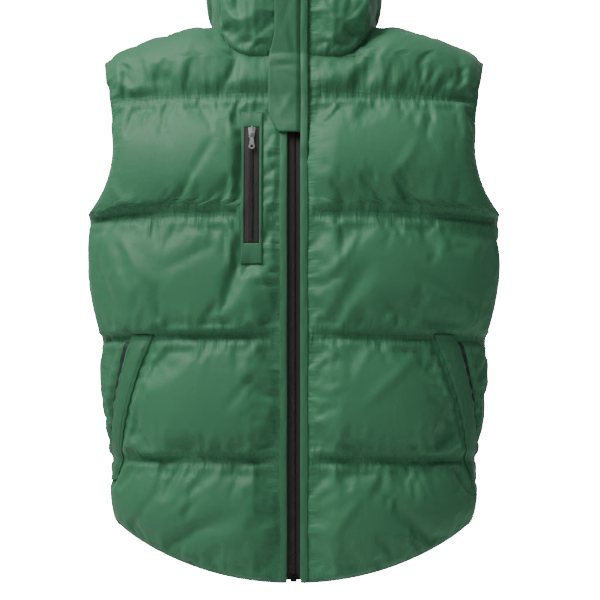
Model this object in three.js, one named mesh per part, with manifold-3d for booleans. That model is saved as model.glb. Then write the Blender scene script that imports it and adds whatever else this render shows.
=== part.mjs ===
// A padded, quilted vest with a stand collar, filled out as if worn.
// Millimetres, +Z up, the front faces -Y, the wearer's left is +X.
// The origin lies between the two points where the shoulder seams meet the collar.
import * as THREE from "three";
import Module from "manifold-3d";
import { mergeVertices } from "three/addons/utils/BufferGeometryUtils.js";

const SEAM_GAP = 0.3;
const SHEET = 3; // wall at a stitched line: two cloths and crushed wadding
const DEGREES = Math.PI / 180;

// Heights of the stitched lines, from the shoulder level down.
const YOKE_LINE = -102;
const LINE_PITCH = 147;
const LINES = [YOKE_LINE - 3 * LINE_PITCH, YOKE_LINE - 2 * LINE_PITCH, YOKE_LINE - LINE_PITCH, YOKE_LINE];
const HEM_CENTRE = -687; // lowest point of the front hem, beside the zip
const HEM_RISE = 66; // how much higher the hem is at the side seam
const STITCH_HALF_PITCH = 3; // each line is two rows of stitches, 6 mm apart

// The trunk's sections, at the stitched lines: half width, front and back depth, squareness.
const TRUNK = [
  { z: -700, halfWidth: 210, front: 100, back: 102, square: 2.3 },
  { z: -620, halfWidth: 215, front: 104, back: 106, square: 2.3 },
  { z: LINES[0], halfWidth: 225, front: 108, back: 108, square: 2.3 },
  { z: LINES[1], halfWidth: 239, front: 111, back: 111, square: 2.3 },
  { z: LINES[2], halfWidth: 256, front: 112, back: 112, square: 2.25 },
  { z: -175, halfWidth: 257, front: 106, back: 110, square: 2.3 },
  { z: YOKE_LINE, halfWidth: 259, front: 90, back: 100, square: 2.35 },
  { z: 0, halfWidth: 259, front: 88, back: 98, square: 2.35 },
];

// The armhole's edge: how far out the cloth reaches at each height. The last row is the shoulder tip.
const ARMHOLE = [
  { z: -238, reach: 256 },
  { z: -231, reach: 246.5 },
  { z: -216, reach: 234 },
  { z: -200, reach: 226 },
  { z: -180, reach: 220.5 },
  { z: -160, reach: 219.5 },
  { z: -135, reach: 223 },
  { z: YOKE_LINE, reach: 227 },
  { z: -70, reach: 231.5 },
  { z: -42, reach: 239 },
];
const UNDERARM_Z = ARMHOLE[0].z;
const SHOULDER_TIP = 239;

// The shoulder: an arch from the front yoke line over to the back one.
const NECK_HALF_WIDTH = 101;
const SHOULDER_AT_CENTRE = 34.5; // where the straight shoulder lines would meet at the centre
const SHOULDER_SLOPE = 0.33;
const SHOULDER_ROUND = 35; // how widely they are rounded there
const ARCH_SQUARE = { front: 2.0, back: 3.0 };
const NECK_DROP_Z = { front: -51, back: 12 };
const NECK_CORNER = { front: 5, back: 3 }; // how squarely the neck curve turns up to the shoulder

// Padding.
const PUFF = 15;
const PUFF_YOKE = 12;
const ZIP_HALF_GAP = 9; // the fronts' edges stand this far from the centre line
const EDGE_STITCH = 17; // the padding starts here
const EDGE_ROUNDING = 38;
const COLLAR_PUFF = 11;
const COLLAR_INNER_PUFF = 4;
const COLLAR_HEIGHT = 85;
const COLLAR_FLARE = { side: 1.03, front: -6, back: 2 };
const COLLAR_LIFT = 2.6; // its lower edge clears the yoke's neck edge
const COLLAR_STATIONS = 44;
const COLLAR_HEIGHTS = [0, 0.07, 0.2, 0.38, 0.56, 0.74, 0.88, 0.96, 1]; // shares of its height
const TOP_SHARE = 0.985; // where the plackets and the flap end

// Columns of a front, and of each half of the back.
const FRONT_COLUMNS = 24;
const BACK_HALF_COLUMNS = 20;

// Front trim.
const PLACKET = { inner: 8.5, outer: 16.6, thick: 1.6 };
const TAPE = { inner: 3.0, outer: 15, thick: 1.0, behind: SHEET + 0.35 };
const TEETH = { half: 2.7, front: -0.4, back: SHEET + 1.35 };
const FLAP = { free: -30, sewn: 15.4, foot: -150, cornerTop: -125, cornerIn: 12, thick: 3.4 };

// Chest pocket: a closed zip in a stitched frame, on the wearer's right.
const CHEST = {
  x: -50, top: -125.5, bottom: -310, zipTop: -145, zipBottom: -285.5, halfWidth: 12.6, window: 9,
};
const CHEST_FLAT = 4; // padding left under the pocket
const CHEST_SLIDER_Z = CHEST.zipTop - 7;
const FACING = { width: 7, thick: 1.6, deepest: 16 }; // the dark band inside each armhole

// Sliders, pulls and the stop at the foot of the main zip. SLIDER.share is the closed slider's place
// up the collar; PULL.y and PULL.z place the hinge on the slider.
const SLIDER = { width: 9, height: 12, share: 0.86 };
const BOTTOM_STOP = { width: 7.4, height: 8.6, top: -677.8, back: -3.0, front: 0.7 };
const PULL = {
  y: -3.15, z: -1, arm: 2.8, slot: 1.5, slotEnd: -6.4, waist: 2.1, tab: 3.6, end: -18.4, thick: 1.1,
};

// Hand pockets: a slanted welt on each front. Angle is measured round the section from the centre.
const WELT = {
  topZ: -393, bottomZ: -566, topAngle: 47, bottomAngle: 74, halfAngle: 5, thick: 2.6, lift: 0.4,
};

// The largest folds of the cloth, as soft ridges (+) or troughs (-) on the padding: the side and face,
// the middle's x and z, the lean from upright in degrees, the length, the width and the depth.
const FOLD_COLUMNS = ["side", "face", "x", "z", "lean", "length", "width", "depth"];
const FOLDS = [
  [-1, "front", 78, -78, 20, 60, 9, -5], // collar corner right
  [-1, "front", 72, -325, 12, 60, 8, -4], // pocket drag right
  [-1, "front", 205, -310, -25, 110, 12, 5], // underarm drag right
  [-1, "front", 172, -345, -20, 90, 10, 4], // waist drag right
  [1, "front", 88, -78, -35, 70, 10, -5], // collar drag left
  [1, "front", 62, -350, -35, 90, 11, -4], // zip drag left
  [1, "front", 150, -372, 75, 110, 14, -6], // waist hollow left
  [1, "front", 215, -270, 88, 70, 12, -5], // underarm hollow left
  [1, "front", 150, -628, 60, 90, 12, -4], // hem drag left
  [-1, "front", 105, -622, 70, 80, 12, -4], // hem drag right
  [-1, "back", 120, -190, 25, 100, 14, -5], // blade drag right
  [1, "back", 120, -195, 25, 100, 14, -5], // blade drag left
  [-1, "back", 150, -350, -30, 110, 13, 4], // waist drag back right
  [1, "back", 155, -340, -30, 110, 13, 4], // waist drag back left
].map((row) => Object.fromEntries(row.map((value, i) => [FOLD_COLUMNS[i], value])));

const clamp = (value, low, high) => Math.min(high, Math.max(low, value));
const mix = (a, b, share) => a + (b - a) * share;
const smooth = (share) => {
  const s = clamp(share, 0, 1);
  return s * s * (3 - 2 * s);
};

// Even steps from one value to another.
function heights(bottom, top, steps) {
  return Array.from({ length: steps + 1 }, (_, i) => mix(bottom, top, i / steps));
}

// A column of a table, read at a height between two of its rows.
function readTable(table, z, column) {
  if (z <= table[0].z) return table[0][column];
  const above = table.findIndex((row) => row.z >= z);
  if (above < 0) return table[table.length - 1][column];
  const low = table[above - 1];
  const high = table[above];
  const before = table[Math.max(0, above - 2)];
  const after = table[Math.min(table.length - 1, above + 1)];
  const share = (z - low.z) / (high.z - low.z);
  const slopeLow = ((high[column] - before[column]) / (high.z - before.z)) * (high.z - low.z);
  const slopeHigh = ((after[column] - low[column]) / (after.z - low.z)) * (high.z - low.z);
  const s2 = share * share;
  const s3 = s2 * share;
  return (2 * s3 - 3 * s2 + 1) * low[column] + (s3 - 2 * s2 + share) * slopeLow
    + (3 * s2 - 2 * s3) * high[column] + (s3 - s2) * slopeHigh;
}

const hemHeight = (x) => HEM_CENTRE + HEM_RISE * Math.pow(Math.abs(x) / 217, 2.1);
const shoulderHeight = (x) => SHOULDER_AT_CENTRE - SHOULDER_SLOPE * Math.hypot(x, SHOULDER_ROUND);
const outward = (face) => (face === "front" ? -1 : 1);

// A level counts the stitched lines: 0 the hem, 1 to 4 the lines going up, 5 the shoulder seam.
function levelHeight(x, level) {
  if (level < 1) return mix(hemHeight(x), LINES[0], level);
  const line = Math.min(2, Math.floor(level) - 1);
  return mix(LINES[line], LINES[line + 1], level - 1 - line);
}

function levelOfHeight(x, z) {
  if (z < LINES[0]) return (z - hemHeight(x)) / (LINES[0] - hemHeight(x));
  return 1 + (z - LINES[0]) / LINE_PITCH;
}

// Depth of the trunk's section at x: a superellipse.
function sectionDepth(face, x, z) {
  const square = readTable(TRUNK, z, "square");
  const share = clamp(Math.abs(x) / readTable(TRUNK, z, "halfWidth"), 0, 1);
  return readTable(TRUNK, z, face) * Math.pow(1 - Math.pow(share, square), 1 / square);
}

// A point of the stitched-down surface, which is the body the padding stands on.
function bodyPoint(face, x, level) {
  const sign = outward(face);
  if (level <= 4) {
    const z = levelHeight(x, level);
    return new THREE.Vector3(x, sign * (SEAM_GAP + sectionDepth(face, x, z)), z);
  }
  const turn = (level - 4) * 90 * DEGREES;
  const power = 2 / ARCH_SQUARE[face];
  const depth = sectionDepth(face, x, YOKE_LINE) * Math.pow(Math.max(0, Math.cos(turn)), power);
  const rise = (shoulderHeight(x) - YOKE_LINE) * Math.pow(Math.sin(turn), power);
  return new THREE.Vector3(x, sign * (SEAM_GAP + depth), YOKE_LINE + rise);
}

function bodyNormal(face, x, level) {
  const stepX = 1.5;
  const stepLevel = 0.012;
  const a = bodyPoint(face, x - stepX, level);
  const b = bodyPoint(face, x + stepX, level);
  const c = bodyPoint(face, x, Math.max(0, level - stepLevel));
  const d = bodyPoint(face, x, Math.min(5, level + stepLevel));
  const normal = b.sub(a).cross(d.sub(c)).multiplyScalar(face === "front" ? 1 : -1);
  return normal.normalize();
}

// How far out the cloth reaches at a level, up to the armhole's edge or the side seam.
function reach(level) {
  const z = level <= 4 ? levelHeight(230, level) : YOKE_LINE + (shoulderHeight(SHOULDER_TIP) - YOKE_LINE)
    * Math.sin((level - 4) * 90 * DEGREES);
  if (z > UNDERARM_Z) return readTable(ARMHOLE, z, "reach");
  return readTable(TRUNK, z, "halfWidth");
}

// The neck curve: where it crosses a level on the arch, as a share of the way up to the shoulder.
function neckStartTurn(face) {
  const rise = (NECK_DROP_Z[face] - YOKE_LINE) / (shoulderHeight(0) - YOKE_LINE);
  return Math.asin(Math.pow(rise, ARCH_SQUARE[face] / 2));
}
function neckLevel(face, share) {
  const start = Math.sin(neckStartTurn(face));
  return 4 + Math.asin(clamp(mix(start, 1, share), 0, 1)) / (90 * DEGREES);
}
const neckX = (face, share) => NECK_HALF_WIDTH * Math.pow(share, 1 / NECK_CORNER[face]);

// Padding, by the place in the channel between two stitched lines. It hangs a little below the middle.
function channelShape(level) {
  const band = STITCH_HALF_PITCH / LINE_PITCH;
  const share = clamp((level - Math.floor(level) - band) / (1 - 2 * band), 0, 1);
  return Math.pow(Math.sin(Math.PI * Math.pow(share, 0.87)), 0.72);
}
function edgeShape(distance, rounding) {
  return Math.pow(Math.sin((Math.PI / 2) * clamp(distance / rounding, 0, 1)), 1.1);
}

function foldHeight(side, face, x, z) {
  let height = 0;
  for (const fold of FOLDS) {
    if (fold.side !== side || fold.face !== face) continue;
    const dx = Math.abs(x) - fold.x;
    const dz = z - fold.z;
    const lean = fold.lean * DEGREES;
    const along = dz * Math.cos(lean) - dx * Math.sin(lean);
    const across = dx * Math.cos(lean) + dz * Math.sin(lean);
    height += fold.depth
      * Math.exp(-Math.pow(across / fold.width, 2) - Math.pow((2 * along) / fold.length, 4));
  }
  return height;
}

function weltAngle(z) {
  return mix(WELT.bottomAngle, WELT.topAngle, (z - WELT.bottomZ) / (WELT.topZ - WELT.bottomZ));
}

// How much of the padding is left beside pockets, where it is stitched through.
function pocketShape(face, x, z) {
  if (face !== "front") return 1;
  const chestX = smooth((Math.abs(x - CHEST.x) - CHEST.halfWidth - 2) / 12);
  const chestMiddle = (CHEST.top + CHEST.bottom) / 2;
  const chestZ = smooth((Math.abs(z - chestMiddle) - (CHEST.top - chestMiddle) - 2) / 12);
  const chest = clamp(Math.max(chestX, chestZ), 0, 1);
  const square = readTable(TRUNK, z, "square");
  const ratio = clamp(Math.abs(x) / readTable(TRUNK, z, "halfWidth"), 0, 1);
  const angle = Math.asin(Math.pow(ratio, square / 2)) / DEGREES;
  const inHeight = smooth((z - WELT.bottomZ + 12) / 20) * smooth((WELT.topZ + 12 - z) / 20);
  const besideWelt = smooth((Math.abs(angle - weltAngle(z)) - WELT.halfAngle) / 6);
  const welt = 1 - 0.5 * inHeight * (1 - besideWelt);
  return Math.min(chest, welt);
}

function padding(face, x, level, neckDistance) {
  const z = bodyPoint(face, x, level).z;
  const side = x < 0 ? -1 : 1;
  const size = level > 4 ? PUFF_YOKE : PUFF;
  let edges = edgeShape(reach(level) - Math.abs(x) * 0.999 + 2, level > 2.99 ? 26 : 16);
  if (face === "front") edges *= edgeShape(Math.abs(x) - EDGE_STITCH, EDGE_ROUNDING);
  if (neckDistance !== undefined) edges *= edgeShape(neckDistance, EDGE_ROUNDING);
  const folds = foldHeight(side, face, x, z) * Math.min(1, channelShape(level) * 1.5) * edges;
  const pocket = pocketShape(face, x, z);
  const puffed = Math.max(0, size * channelShape(level) * edges + folds);
  const inChest = pocket < 0.5 && x < 0 && face === "front" && Math.abs(x - CHEST.x) < 40;
  return inChest || (pocket < 1 && Math.abs(x - CHEST.x) < 40)
    ? mix(CHEST_FLAT * edgeShape(Math.abs(x) - EDGE_STITCH, 14), puffed, pocket)
    : puffed * pocket;
}

// Rows up a panel: both stitch rows of each line, and the padding between them.
function panelLevels(face) {
  const band = STITCH_HALF_PITCH / LINE_PITCH;
  const inChannel = [0.1, 0.3, 0.52, 0.74, 0.92];
  const levels = [0];
  for (let channel = 0; channel < 4; channel += 1) {
    if (channel > 0) levels.push(channel + band);
    inChannel.forEach((share) => levels.push(channel + share));
    levels.push(channel + 1 - band);
  }
  levels.push(4 + band);
  const start = neckLevel(face, 0);
  levels.push(mix(4, start, 0.5), start);
  [0.02, 0.1, 0.3, 0.6, 0.85, 1].forEach((share) => levels.push(neckLevel(face, share)));
  return levels;
}

// Points of a level at even steps from xStart to xEnd, measured along the cloth.
function evenX(face, level, xStart, xEnd, count) {
  const fine = 120;
  const square = 1.15;
  const limit = readTable(TRUNK, bodyPoint(face, xEnd, level).z, "halfWidth") * 1.00001;
  const toAngle = (x) => Math.sign(x) * Math.asin(Math.pow(clamp(Math.abs(x) / limit, 0, 1), square));
  const toX = (angle) => Math.sign(angle) * limit * Math.pow(Math.abs(Math.sin(angle)), 1 / square);
  const xs = [xStart];
  const lengths = [0];
  let last = bodyPoint(face, xStart, level);
  for (let i = 1; i <= fine; i += 1) {
    const x = i === fine ? xEnd : toX(mix(toAngle(xStart), toAngle(xEnd), i / fine));
    const point = bodyPoint(face, x, level);
    xs.push(x);
    lengths.push(lengths[i - 1] + point.distanceTo(last));
    last = point;
  }
  return Array.from({ length: count + 1 }, (_, column) => {
    const target = (lengths[fine] * column) / count;
    const above = Math.max(1, lengths.findIndex((length) => length >= target - 1e-9));
    const share = (target - lengths[above - 1]) / Math.max(1e-9, lengths[above] - lengths[above - 1]);
    return mix(xs[above - 1], xs[above], clamp(share, 0, 1));
  });
}

// The columns of a panel at a level. A front has two narrow ones first, along its flat stitched edge.
function panelColumns(face, level, start, end, count) {
  if (face === "back") return evenX(face, level, start, end, count);
  const width = EDGE_STITCH - ZIP_HALF_GAP;
  if (start > 0) return [start, start + width / 2, ...evenX(face, level, start + width, end, count - 2)];
  return [...evenX(face, level, start, end - width, count - 2), end - width / 2, end];
}

// The faces of a wall between an outer grid and an inner one that has every second row and column.
// joined says which stretches of the edge meet another half, and so have no face.
function wallCorners(outer, inner, flip, joined = () => false) {
  const rows = outer.length - 1;
  const columns = outer[0].length - 1;
  const corners = [];
  const face = (a, b, c) => corners.push(...(flip ? [c, b, a] : [a, b, c]));
  for (let r = 0; r < rows; r += 1) {
    for (let c = 0; c < columns; c += 1) {
      face(outer[r][c], outer[r][c + 1], outer[r + 1][c + 1]);
      face(outer[r][c], outer[r + 1][c + 1], outer[r + 1][c]);
    }
  }
  for (let r = 0; r < rows; r += 2) {
    for (let c = 0; c < columns; c += 2) {
      face(inner[r][c], inner[r + 2][c + 2], inner[r][c + 2]);
      face(inner[r][c], inner[r + 2][c], inner[r + 2][c + 2]);
    }
  }
  const loop = [];
  for (let c = 0; c < columns; c += 1) loop.push([0, c]);
  for (let r = 0; r < rows; r += 1) loop.push([r, columns]);
  for (let c = columns; c > 0; c -= 1) loop.push([rows, c]);
  for (let r = rows; r > 0; r -= 1) loop.push([r, 0]);
  for (let i = 0; i < loop.length; i += 2) {
    const [start, middle, end] = [loop[i], loop[i + 1], loop[(i + 2) % loop.length]];
    if (joined(start, end)) continue;
    const from = outer[start[0]][start[1]];
    const between = outer[middle[0]][middle[1]];
    const to = outer[end[0]][end[1]];
    const [innerFrom, innerTo] = [inner[start[0]][start[1]], inner[end[0]][end[1]]];
    face(between, from, innerFrom);
    face(between, innerFrom, innerTo);
    face(to, between, innerTo);
  }
  return corners;
}

// The faces of a thin strip between two grids of the same size.
function stripCorners(far, near) {
  const rows = far.length - 1;
  const columns = far[0].length - 1;
  const corners = [];
  const quad = (a, b, c, d) => corners.push(a, b, c, a, c, d);
  for (let r = 0; r < rows; r += 1) {
    for (let c = 0; c < columns; c += 1) {
      quad(far[r][c], far[r][c + 1], far[r + 1][c + 1], far[r + 1][c]);
      quad(near[r][c], near[r + 1][c], near[r + 1][c + 1], near[r][c + 1]);
    }
    quad(near[r][0], far[r][0], far[r + 1][0], near[r + 1][0]);
    quad(far[r][columns], near[r][columns], near[r + 1][columns], far[r + 1][columns]);
  }
  for (let c = 0; c < columns; c += 1) {
    quad(near[0][c], near[0][c + 1], far[0][c + 1], far[0][c]);
    quad(far[rows][c], far[rows][c + 1], near[rows][c + 1], near[rows][c]);
  }
  return corners;
}

function geometryOf(corners) {
  const positions = new Float32Array(corners.length * 3);
  corners.forEach((corner, i) => corner.toArray(positions, i * 3));
  const geometry = new THREE.BufferGeometry();
  geometry.setAttribute("position", new THREE.BufferAttribute(positions, 3));
  return mergeVertices(geometry, 1e-4);
}

// The outer and inner points of a padded panel. xRange gives where a level starts and ends.
function panelGrids(face, xRange, columns) {
  const levels = panelLevels(face);
  const outer = [];
  const inner = [];
  levels.forEach((level, row) => {
    const [start, end] = xRange(level);
    const outerRow = [];
    const innerRow = [];
    panelColumns(face, level, start, end, columns).forEach((x) => {
      const base = bodyPoint(face, x, level);
      const normal = bodyNormal(face, x, level);
      const onSideSeam = reach(level) - Math.abs(x) < 0.01 && base.z <= UNDERARM_Z;
      const onShoulderSeam = row === levels.length - 1;
      if (onSideSeam || onShoulderSeam) normal.setY(0).normalize();
      const neckDistance = level > 4 ? neckGap(face, x, level) : undefined;
      const puff = onSideSeam || onShoulderSeam ? 0 : padding(face, x, level, neckDistance);
      outerRow.push(base.clone().addScaledVector(normal, puff));
      innerRow.push(base.clone().addScaledVector(normal, -SHEET));
    });
    outer.push(outerRow);
    inner.push(innerRow);
  });
  return { outer, inner };
}

// Distance from a point of the yoke to the neck seam.
function neckGap(face, from, level) {
  const here = bodyPoint(face, from, level);
  let nearest = 1e9;
  for (let i = 0; i <= 40; i += 1) {
    const share = Math.pow(i / 40, 3);
    for (const side of face === "back" ? [-1, 1] : [Math.sign(from) || 1]) {
      const x = side * Math.max(neckX(face, share), ZIP_HALF_GAP);
      nearest = Math.min(nearest, bodyPoint(face, x, neckLevel(face, share)).distanceTo(here));
    }
  }
  return nearest;
}

// Where the neck curve stands at a level, or null below it.
function neckAt(face, level) {
  const start = neckLevel(face, 0);
  if (level <= start + 1e-9) return null;
  const from = Math.sin(neckStartTurn(face));
  const share = (Math.sin((level - 4) * 90 * DEGREES) - from) / (1 - from);
  return neckX(face, clamp(share, 0, 1));
}

function frontGeometry(side) {
  const range = (level) => {
    const neck = neckAt("front", level);
    const start = neck === null ? ZIP_HALF_GAP : Math.max(neck, ZIP_HALF_GAP);
    return side > 0 ? [start, reach(level)] : [-reach(level), -start];
  };
  const { outer, inner } = panelGrids("front", range, FRONT_COLUMNS);
  return geometryOf(wallCorners(outer, inner, false));
}

// The back is made of two halves that share their middle column up to the neck seam.
function backGeometry() {
  const neckRow = panelLevels("back").indexOf(neckLevel("back", 0));
  const corners = [];
  for (const side of [-1, 1]) {
    const range = (level) => {
      const neck = neckAt("back", level) ?? 0;
      return side > 0 ? [neck, reach(level)] : [-reach(level), -neck];
    };
    const { outer, inner } = panelGrids("back", range, BACK_HALF_COLUMNS);
    const middle = side > 0 ? 0 : BACK_HALF_COLUMNS;
    const joined = (start, end) => start[1] === middle && end[1] === middle
      && start[0] <= neckRow && end[0] <= neckRow;
    corners.push(...wallCorners(outer, inner, true, joined));
  }
  return geometryOf(corners);
}

// The neck seam's curve, from the zip round the back to the zip again.
function neckCurve() {
  const right = [];
  const steps = 60;
  for (let i = 0; i <= steps; i += 1) {
    const share = Math.pow(i / steps, 4);
    const x = Math.max(neckX("front", share), ZIP_HALF_GAP);
    right.push(bodyPoint("front", x, neckLevel("front", share)));
  }
  for (let i = steps; i >= 0; i -= 1) {
    const share = Math.pow(i / steps, 2.2);
    right.push(bodyPoint("back", neckX("back", share), neckLevel("back", share)));
  }
  const left = right.slice(0, -1).reverse();
  const all = [...right.map((p) => new THREE.Vector3(-p.x, p.y, p.z)), ...left];
  return new THREE.CatmullRomCurve3(all, false, "centripetal");
}

// The collar stands on the neck curve.
function collarGeometry() {
  const curve = neckCurve();
  const edge = (EDGE_STITCH - ZIP_HALF_GAP) / curve.getLength();
  const between = heights(edge, 1 - edge, COLLAR_STATIONS - 4);
  const foot = [0, edge / 2, ...between, 1 - edge / 2, 1].map((share) => curve.getPointAt(share));
  const around = foot.map((_, i) => {
    const before = foot[Math.max(0, i - 1)];
    const after = foot[Math.min(COLLAR_STATIONS, i + 1)];
    return new THREE.Vector3(before.y - after.y, after.x - before.x, 0).normalize();
  });
  around[0].set(0, -1, 0);
  around[COLLAR_STATIONS].set(0, -1, 0);
  const collarPoint = (i, share) => {
    const p = foot[i];
    const front = clamp(-p.y / 78, 0, 1);
    const lean = mix(COLLAR_FLARE.back, COLLAR_FLARE.front, front) * share;
    const x = Math.abs(p.x) < ZIP_HALF_GAP + 0.5 ? p.x : p.x * mix(1, COLLAR_FLARE.side, share);
    return new THREE.Vector3(x, p.y + lean, p.z + COLLAR_LIFT + COLLAR_HEIGHT * share);
  };
  const outer = [];
  const inner = [];
  COLLAR_HEIGHTS.forEach((share) => {
    const swell = Math.pow(Math.sin(Math.PI * clamp(share, 0.0001, 0.9999)), 0.75);
    const padded = foot.map((p) => (
      swell * (p.y < -60 ? edgeShape(Math.abs(p.x) - EDGE_STITCH, EDGE_ROUNDING) : 1)
    ));
    outer.push(foot.map((_, i) => collarPoint(i, share).addScaledVector(around[i], COLLAR_PUFF * padded[i])));
    inner.push(foot.map((_, i) => (
      collarPoint(i, share).addScaledVector(around[i], -SHEET - COLLAR_INNER_PUFF * padded[i])
    )));
  });
  return geometryOf(wallCorners(outer, inner, true));
}

// The centre front, seen as one strip that runs up both fronts and on up the collar.
// A station is { level } on the body, or { share } of the collar's height.
function centreStations(bottomLevel, topShare) {
  const neck = neckLevel("front", 0);
  const body = panelLevels("front").filter((level) => level > bottomLevel + 0.01 && level < neck - 1e-6);
  const collar = COLLAR_HEIGHTS.filter((share) => share > 0 && share < topShare - 0.03);
  return [{ level: bottomLevel }, ...body.map((level) => ({ level })), { level: neck - 0.01 },
    ...[...collar, topShare].map((share) => ({ share }))];
}

function centrePoint(x, station) {
  const neck = neckLevel("front", 0);
  if (station.level !== undefined) {
    const base = bodyPoint("front", x, station.level);
    return { base, normal: bodyNormal("front", x, Math.min(station.level, neck)) };
  }
  const foot = bodyPoint("front", x, neck);
  const base = new THREE.Vector3(x, foot.y + COLLAR_FLARE.front * station.share,
    foot.z + COLLAR_LIFT + COLLAR_HEIGHT * station.share);
  return { base, normal: new THREE.Vector3(0, -1, 0) };
}

// A strip of the centre front between two depths. columns lists { x, near, far }, each a number or
// a function of the station; near is the inner depth and far the outer one, measured outwards.
function centreStrip(stations, columns) {
  const value = (entry, station) => (typeof entry === "function" ? entry(station) : entry);
  const grid = (depth) => stations.map((station) => columns.map((column) => {
    const { base, normal } = centrePoint(value(column.x, station), station);
    return base.addScaledVector(normal, value(column[depth], station));
  }));
  return geometryOf(stripCorners(grid("far"), grid("near")));
}

const stationHeight = (station) => centrePoint(0, station).base.z;
const FLAP_FOOT_LEVEL = levelOfHeight(0, FLAP.foot);

function placketGeometry(side) {
  const stations = centreStations(0, TOP_SHARE);
  const raised = (station) => (side > 0 ? 3.6 * smooth((stationHeight(station) - FLAP.foot + 36) / 24) : 0);
  const column = (x) => ({ x, near: (s) => 0.35 + raised(s), far: (s) => 0.35 + PLACKET.thick + raised(s) });
  const xs = [PLACKET.inner, (PLACKET.inner + PLACKET.outer) / 2, PLACKET.outer];
  return centreStrip(stations, (side > 0 ? xs : xs.map((x) => -x).reverse()).map(column));
}

function tapeGeometry(side) {
  const rows = panelLevels("front");
  const onInside = (station) => station.level === undefined || rows.indexOf(station.level) % 2 === 0;
  const stations = centreStations(0.02, 0.95).filter((station, i) => i === 0 || onInside(station));
  const inArch = (station) => (station.level > 3.9 || station.share < 0.15 ? 1.6 : 0);
  const behind = (station) => -TAPE.behind - inArch(station);
  const column = (x) => ({ x, near: (station) => behind(station) - TAPE.thick, far: behind });
  const xs = [TAPE.inner, (TAPE.inner + TAPE.outer) / 2, TAPE.outer];
  return centreStrip(stations, (side > 0 ? xs : xs.map((x) => -x).reverse()).map(column));
}

function teethGeometry() {
  const stations = centreStations(0.068, SLIDER.share - 0.08);
  const column = (x) => ({ x, near: -TEETH.back, far: TEETH.front });
  return centreStrip(stations, [-TEETH.half, 0, TEETH.half].map(column));
}

// The flap is sewn under the left placket, rises over the zip and ends free over the right placket.
function flapGeometry() {
  const stations = centreStations(FLAP_FOOT_LEVEL, TOP_SHARE);
  const extra = levelOfHeight(0, FLAP.cornerTop);
  stations.splice(1, 0, { level: extra });
  stations.sort((a, b) => stationHeight(a) - stationHeight(b));
  const free = (station) => {
    const z = stationHeight(station);
    const corner = FLAP.cornerIn * (1 - clamp((z - FLAP.foot) / (FLAP.cornerTop - FLAP.foot), 0, 1));
    const collarNarrowing = 7 * smooth((z + 60) / 40);
    return FLAP.free + corner + collarNarrowing;
  };
  const over = 3.5; // clears the right placket and the slider
  const at = (share) => (station) => mix(free(station), 3, share);
  const columns = [
    { x: at(0), near: over + 0.4, far: over + 1.6 },
    { x: at(0.12), near: over, far: over + 0.8 * FLAP.thick },
    { x: at(0.45), near: over, far: over + FLAP.thick },
    { x: at(0.8), near: over, far: over + FLAP.thick },
    { x: at(1), near: over - 0.2, far: over + FLAP.thick * 0.9 },
    { x: 7.6, near: 0.9, far: 3.4 },
    { x: FLAP.sewn, near: 0.65, far: 1.9 },
  ];
  return centreStrip(stations, columns);
}

// How high the front's padding stands at a place, and within a small reach round it.
const frontMeshes = {
  right: new THREE.Mesh(frontGeometry(-1)),
  left: new THREE.Mesh(frontGeometry(1)),
};
const ray = new THREE.Raycaster();
function standing(x, level) {
  const base = bodyPoint("front", x, level);
  const normal = bodyNormal("front", x, level);
  ray.set(base.clone().addScaledVector(normal, 60), normal.clone().negate());
  const hit = ray.intersectObject(x < 0 ? frontMeshes.right : frontMeshes.left)[0];
  return hit ? 60 - hit.distance : 0;
}
function standingAround(x, level, reachX, reachLevel) {
  const shares = [-1, -0.5, 0, 0.5, 1];
  return Math.max(...shares.flatMap((i) => shares.map((k) => (
    standing(x + i * reachX, level + k * reachLevel)
  ))));
}

// A strip that lies on a front's padding. xs gives its columns at a level.
function panelStrip(xs, levels, near, far) {
  const stepLevel = (levels[1] - levels[0]) * 0.5;
  const rows = levels.map((level) => xs(level).map((x, i, row) => {
    const stepX = (row[1] - row[0]) * 0.5;
    return { x, level, height: standingAround(x, level, stepX, stepLevel) };
  }));
  const grid = (depth) => rows.map((row) => row.map(({ x, level, height }) => (
    bodyPoint("front", x, level).addScaledVector(bodyNormal("front", x, level), height + depth)
  )));
  return stripCorners(grid(far), grid(near));
}

const chestLevel = (z) => levelOfHeight(CHEST.x, z);

// The pocket's frame: two long sides and two end tabs, joined round the zip's window.
function chestFrameGeometry() {
  const outerLeft = CHEST.x - CHEST.halfWidth;
  const outerRight = CHEST.x + CHEST.halfWidth;
  const strip = (xs, from, to, steps) => (
    panelStrip(() => xs, heights(from, to, steps).map(chestLevel), 0.6, 2.2)
  );
  const windowLeft = CHEST.x - CHEST.window;
  const windowRight = CHEST.x + CHEST.window;
  const solids = [
    strip([outerLeft, (outerLeft + windowLeft) / 2, windowLeft], CHEST.bottom, CHEST.top, 16),
    strip([windowRight, (outerRight + windowRight) / 2, outerRight], CHEST.bottom, CHEST.top, 16),
    strip([windowLeft - 0.5, CHEST.x, windowRight + 0.5], CHEST.zipTop + 0.3, CHEST.top - 0.5, 2),
    strip([windowLeft - 0.5, CHEST.x, windowRight + 0.5], CHEST.bottom + 0.5, CHEST.zipBottom - 0.3, 2),
  ].map((corners) => solidOf(geometryOf(corners)));
  return geometryOfSolid(solids.reduce((sum, solid) => sum.add(solid)));
}

function chestTapeGeometry() {
  const half = CHEST.window - 0.4;
  const levels = heights(CHEST.zipBottom + 0.2, CHEST.zipTop - 0.2, 12).map(chestLevel);
  return geometryOf(panelStrip(() => [CHEST.x - half, CHEST.x, CHEST.x + half], levels, 0.45, 1.3));
}

function chestTeethGeometry() {
  const levels = heights(CHEST.zipBottom + 3, CHEST_SLIDER_Z - 6.8, 12).map(chestLevel);
  return geometryOf(panelStrip(() => [CHEST.x - 2.7, CHEST.x, CHEST.x + 2.7], levels, 2.0, 3.5));
}

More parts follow.
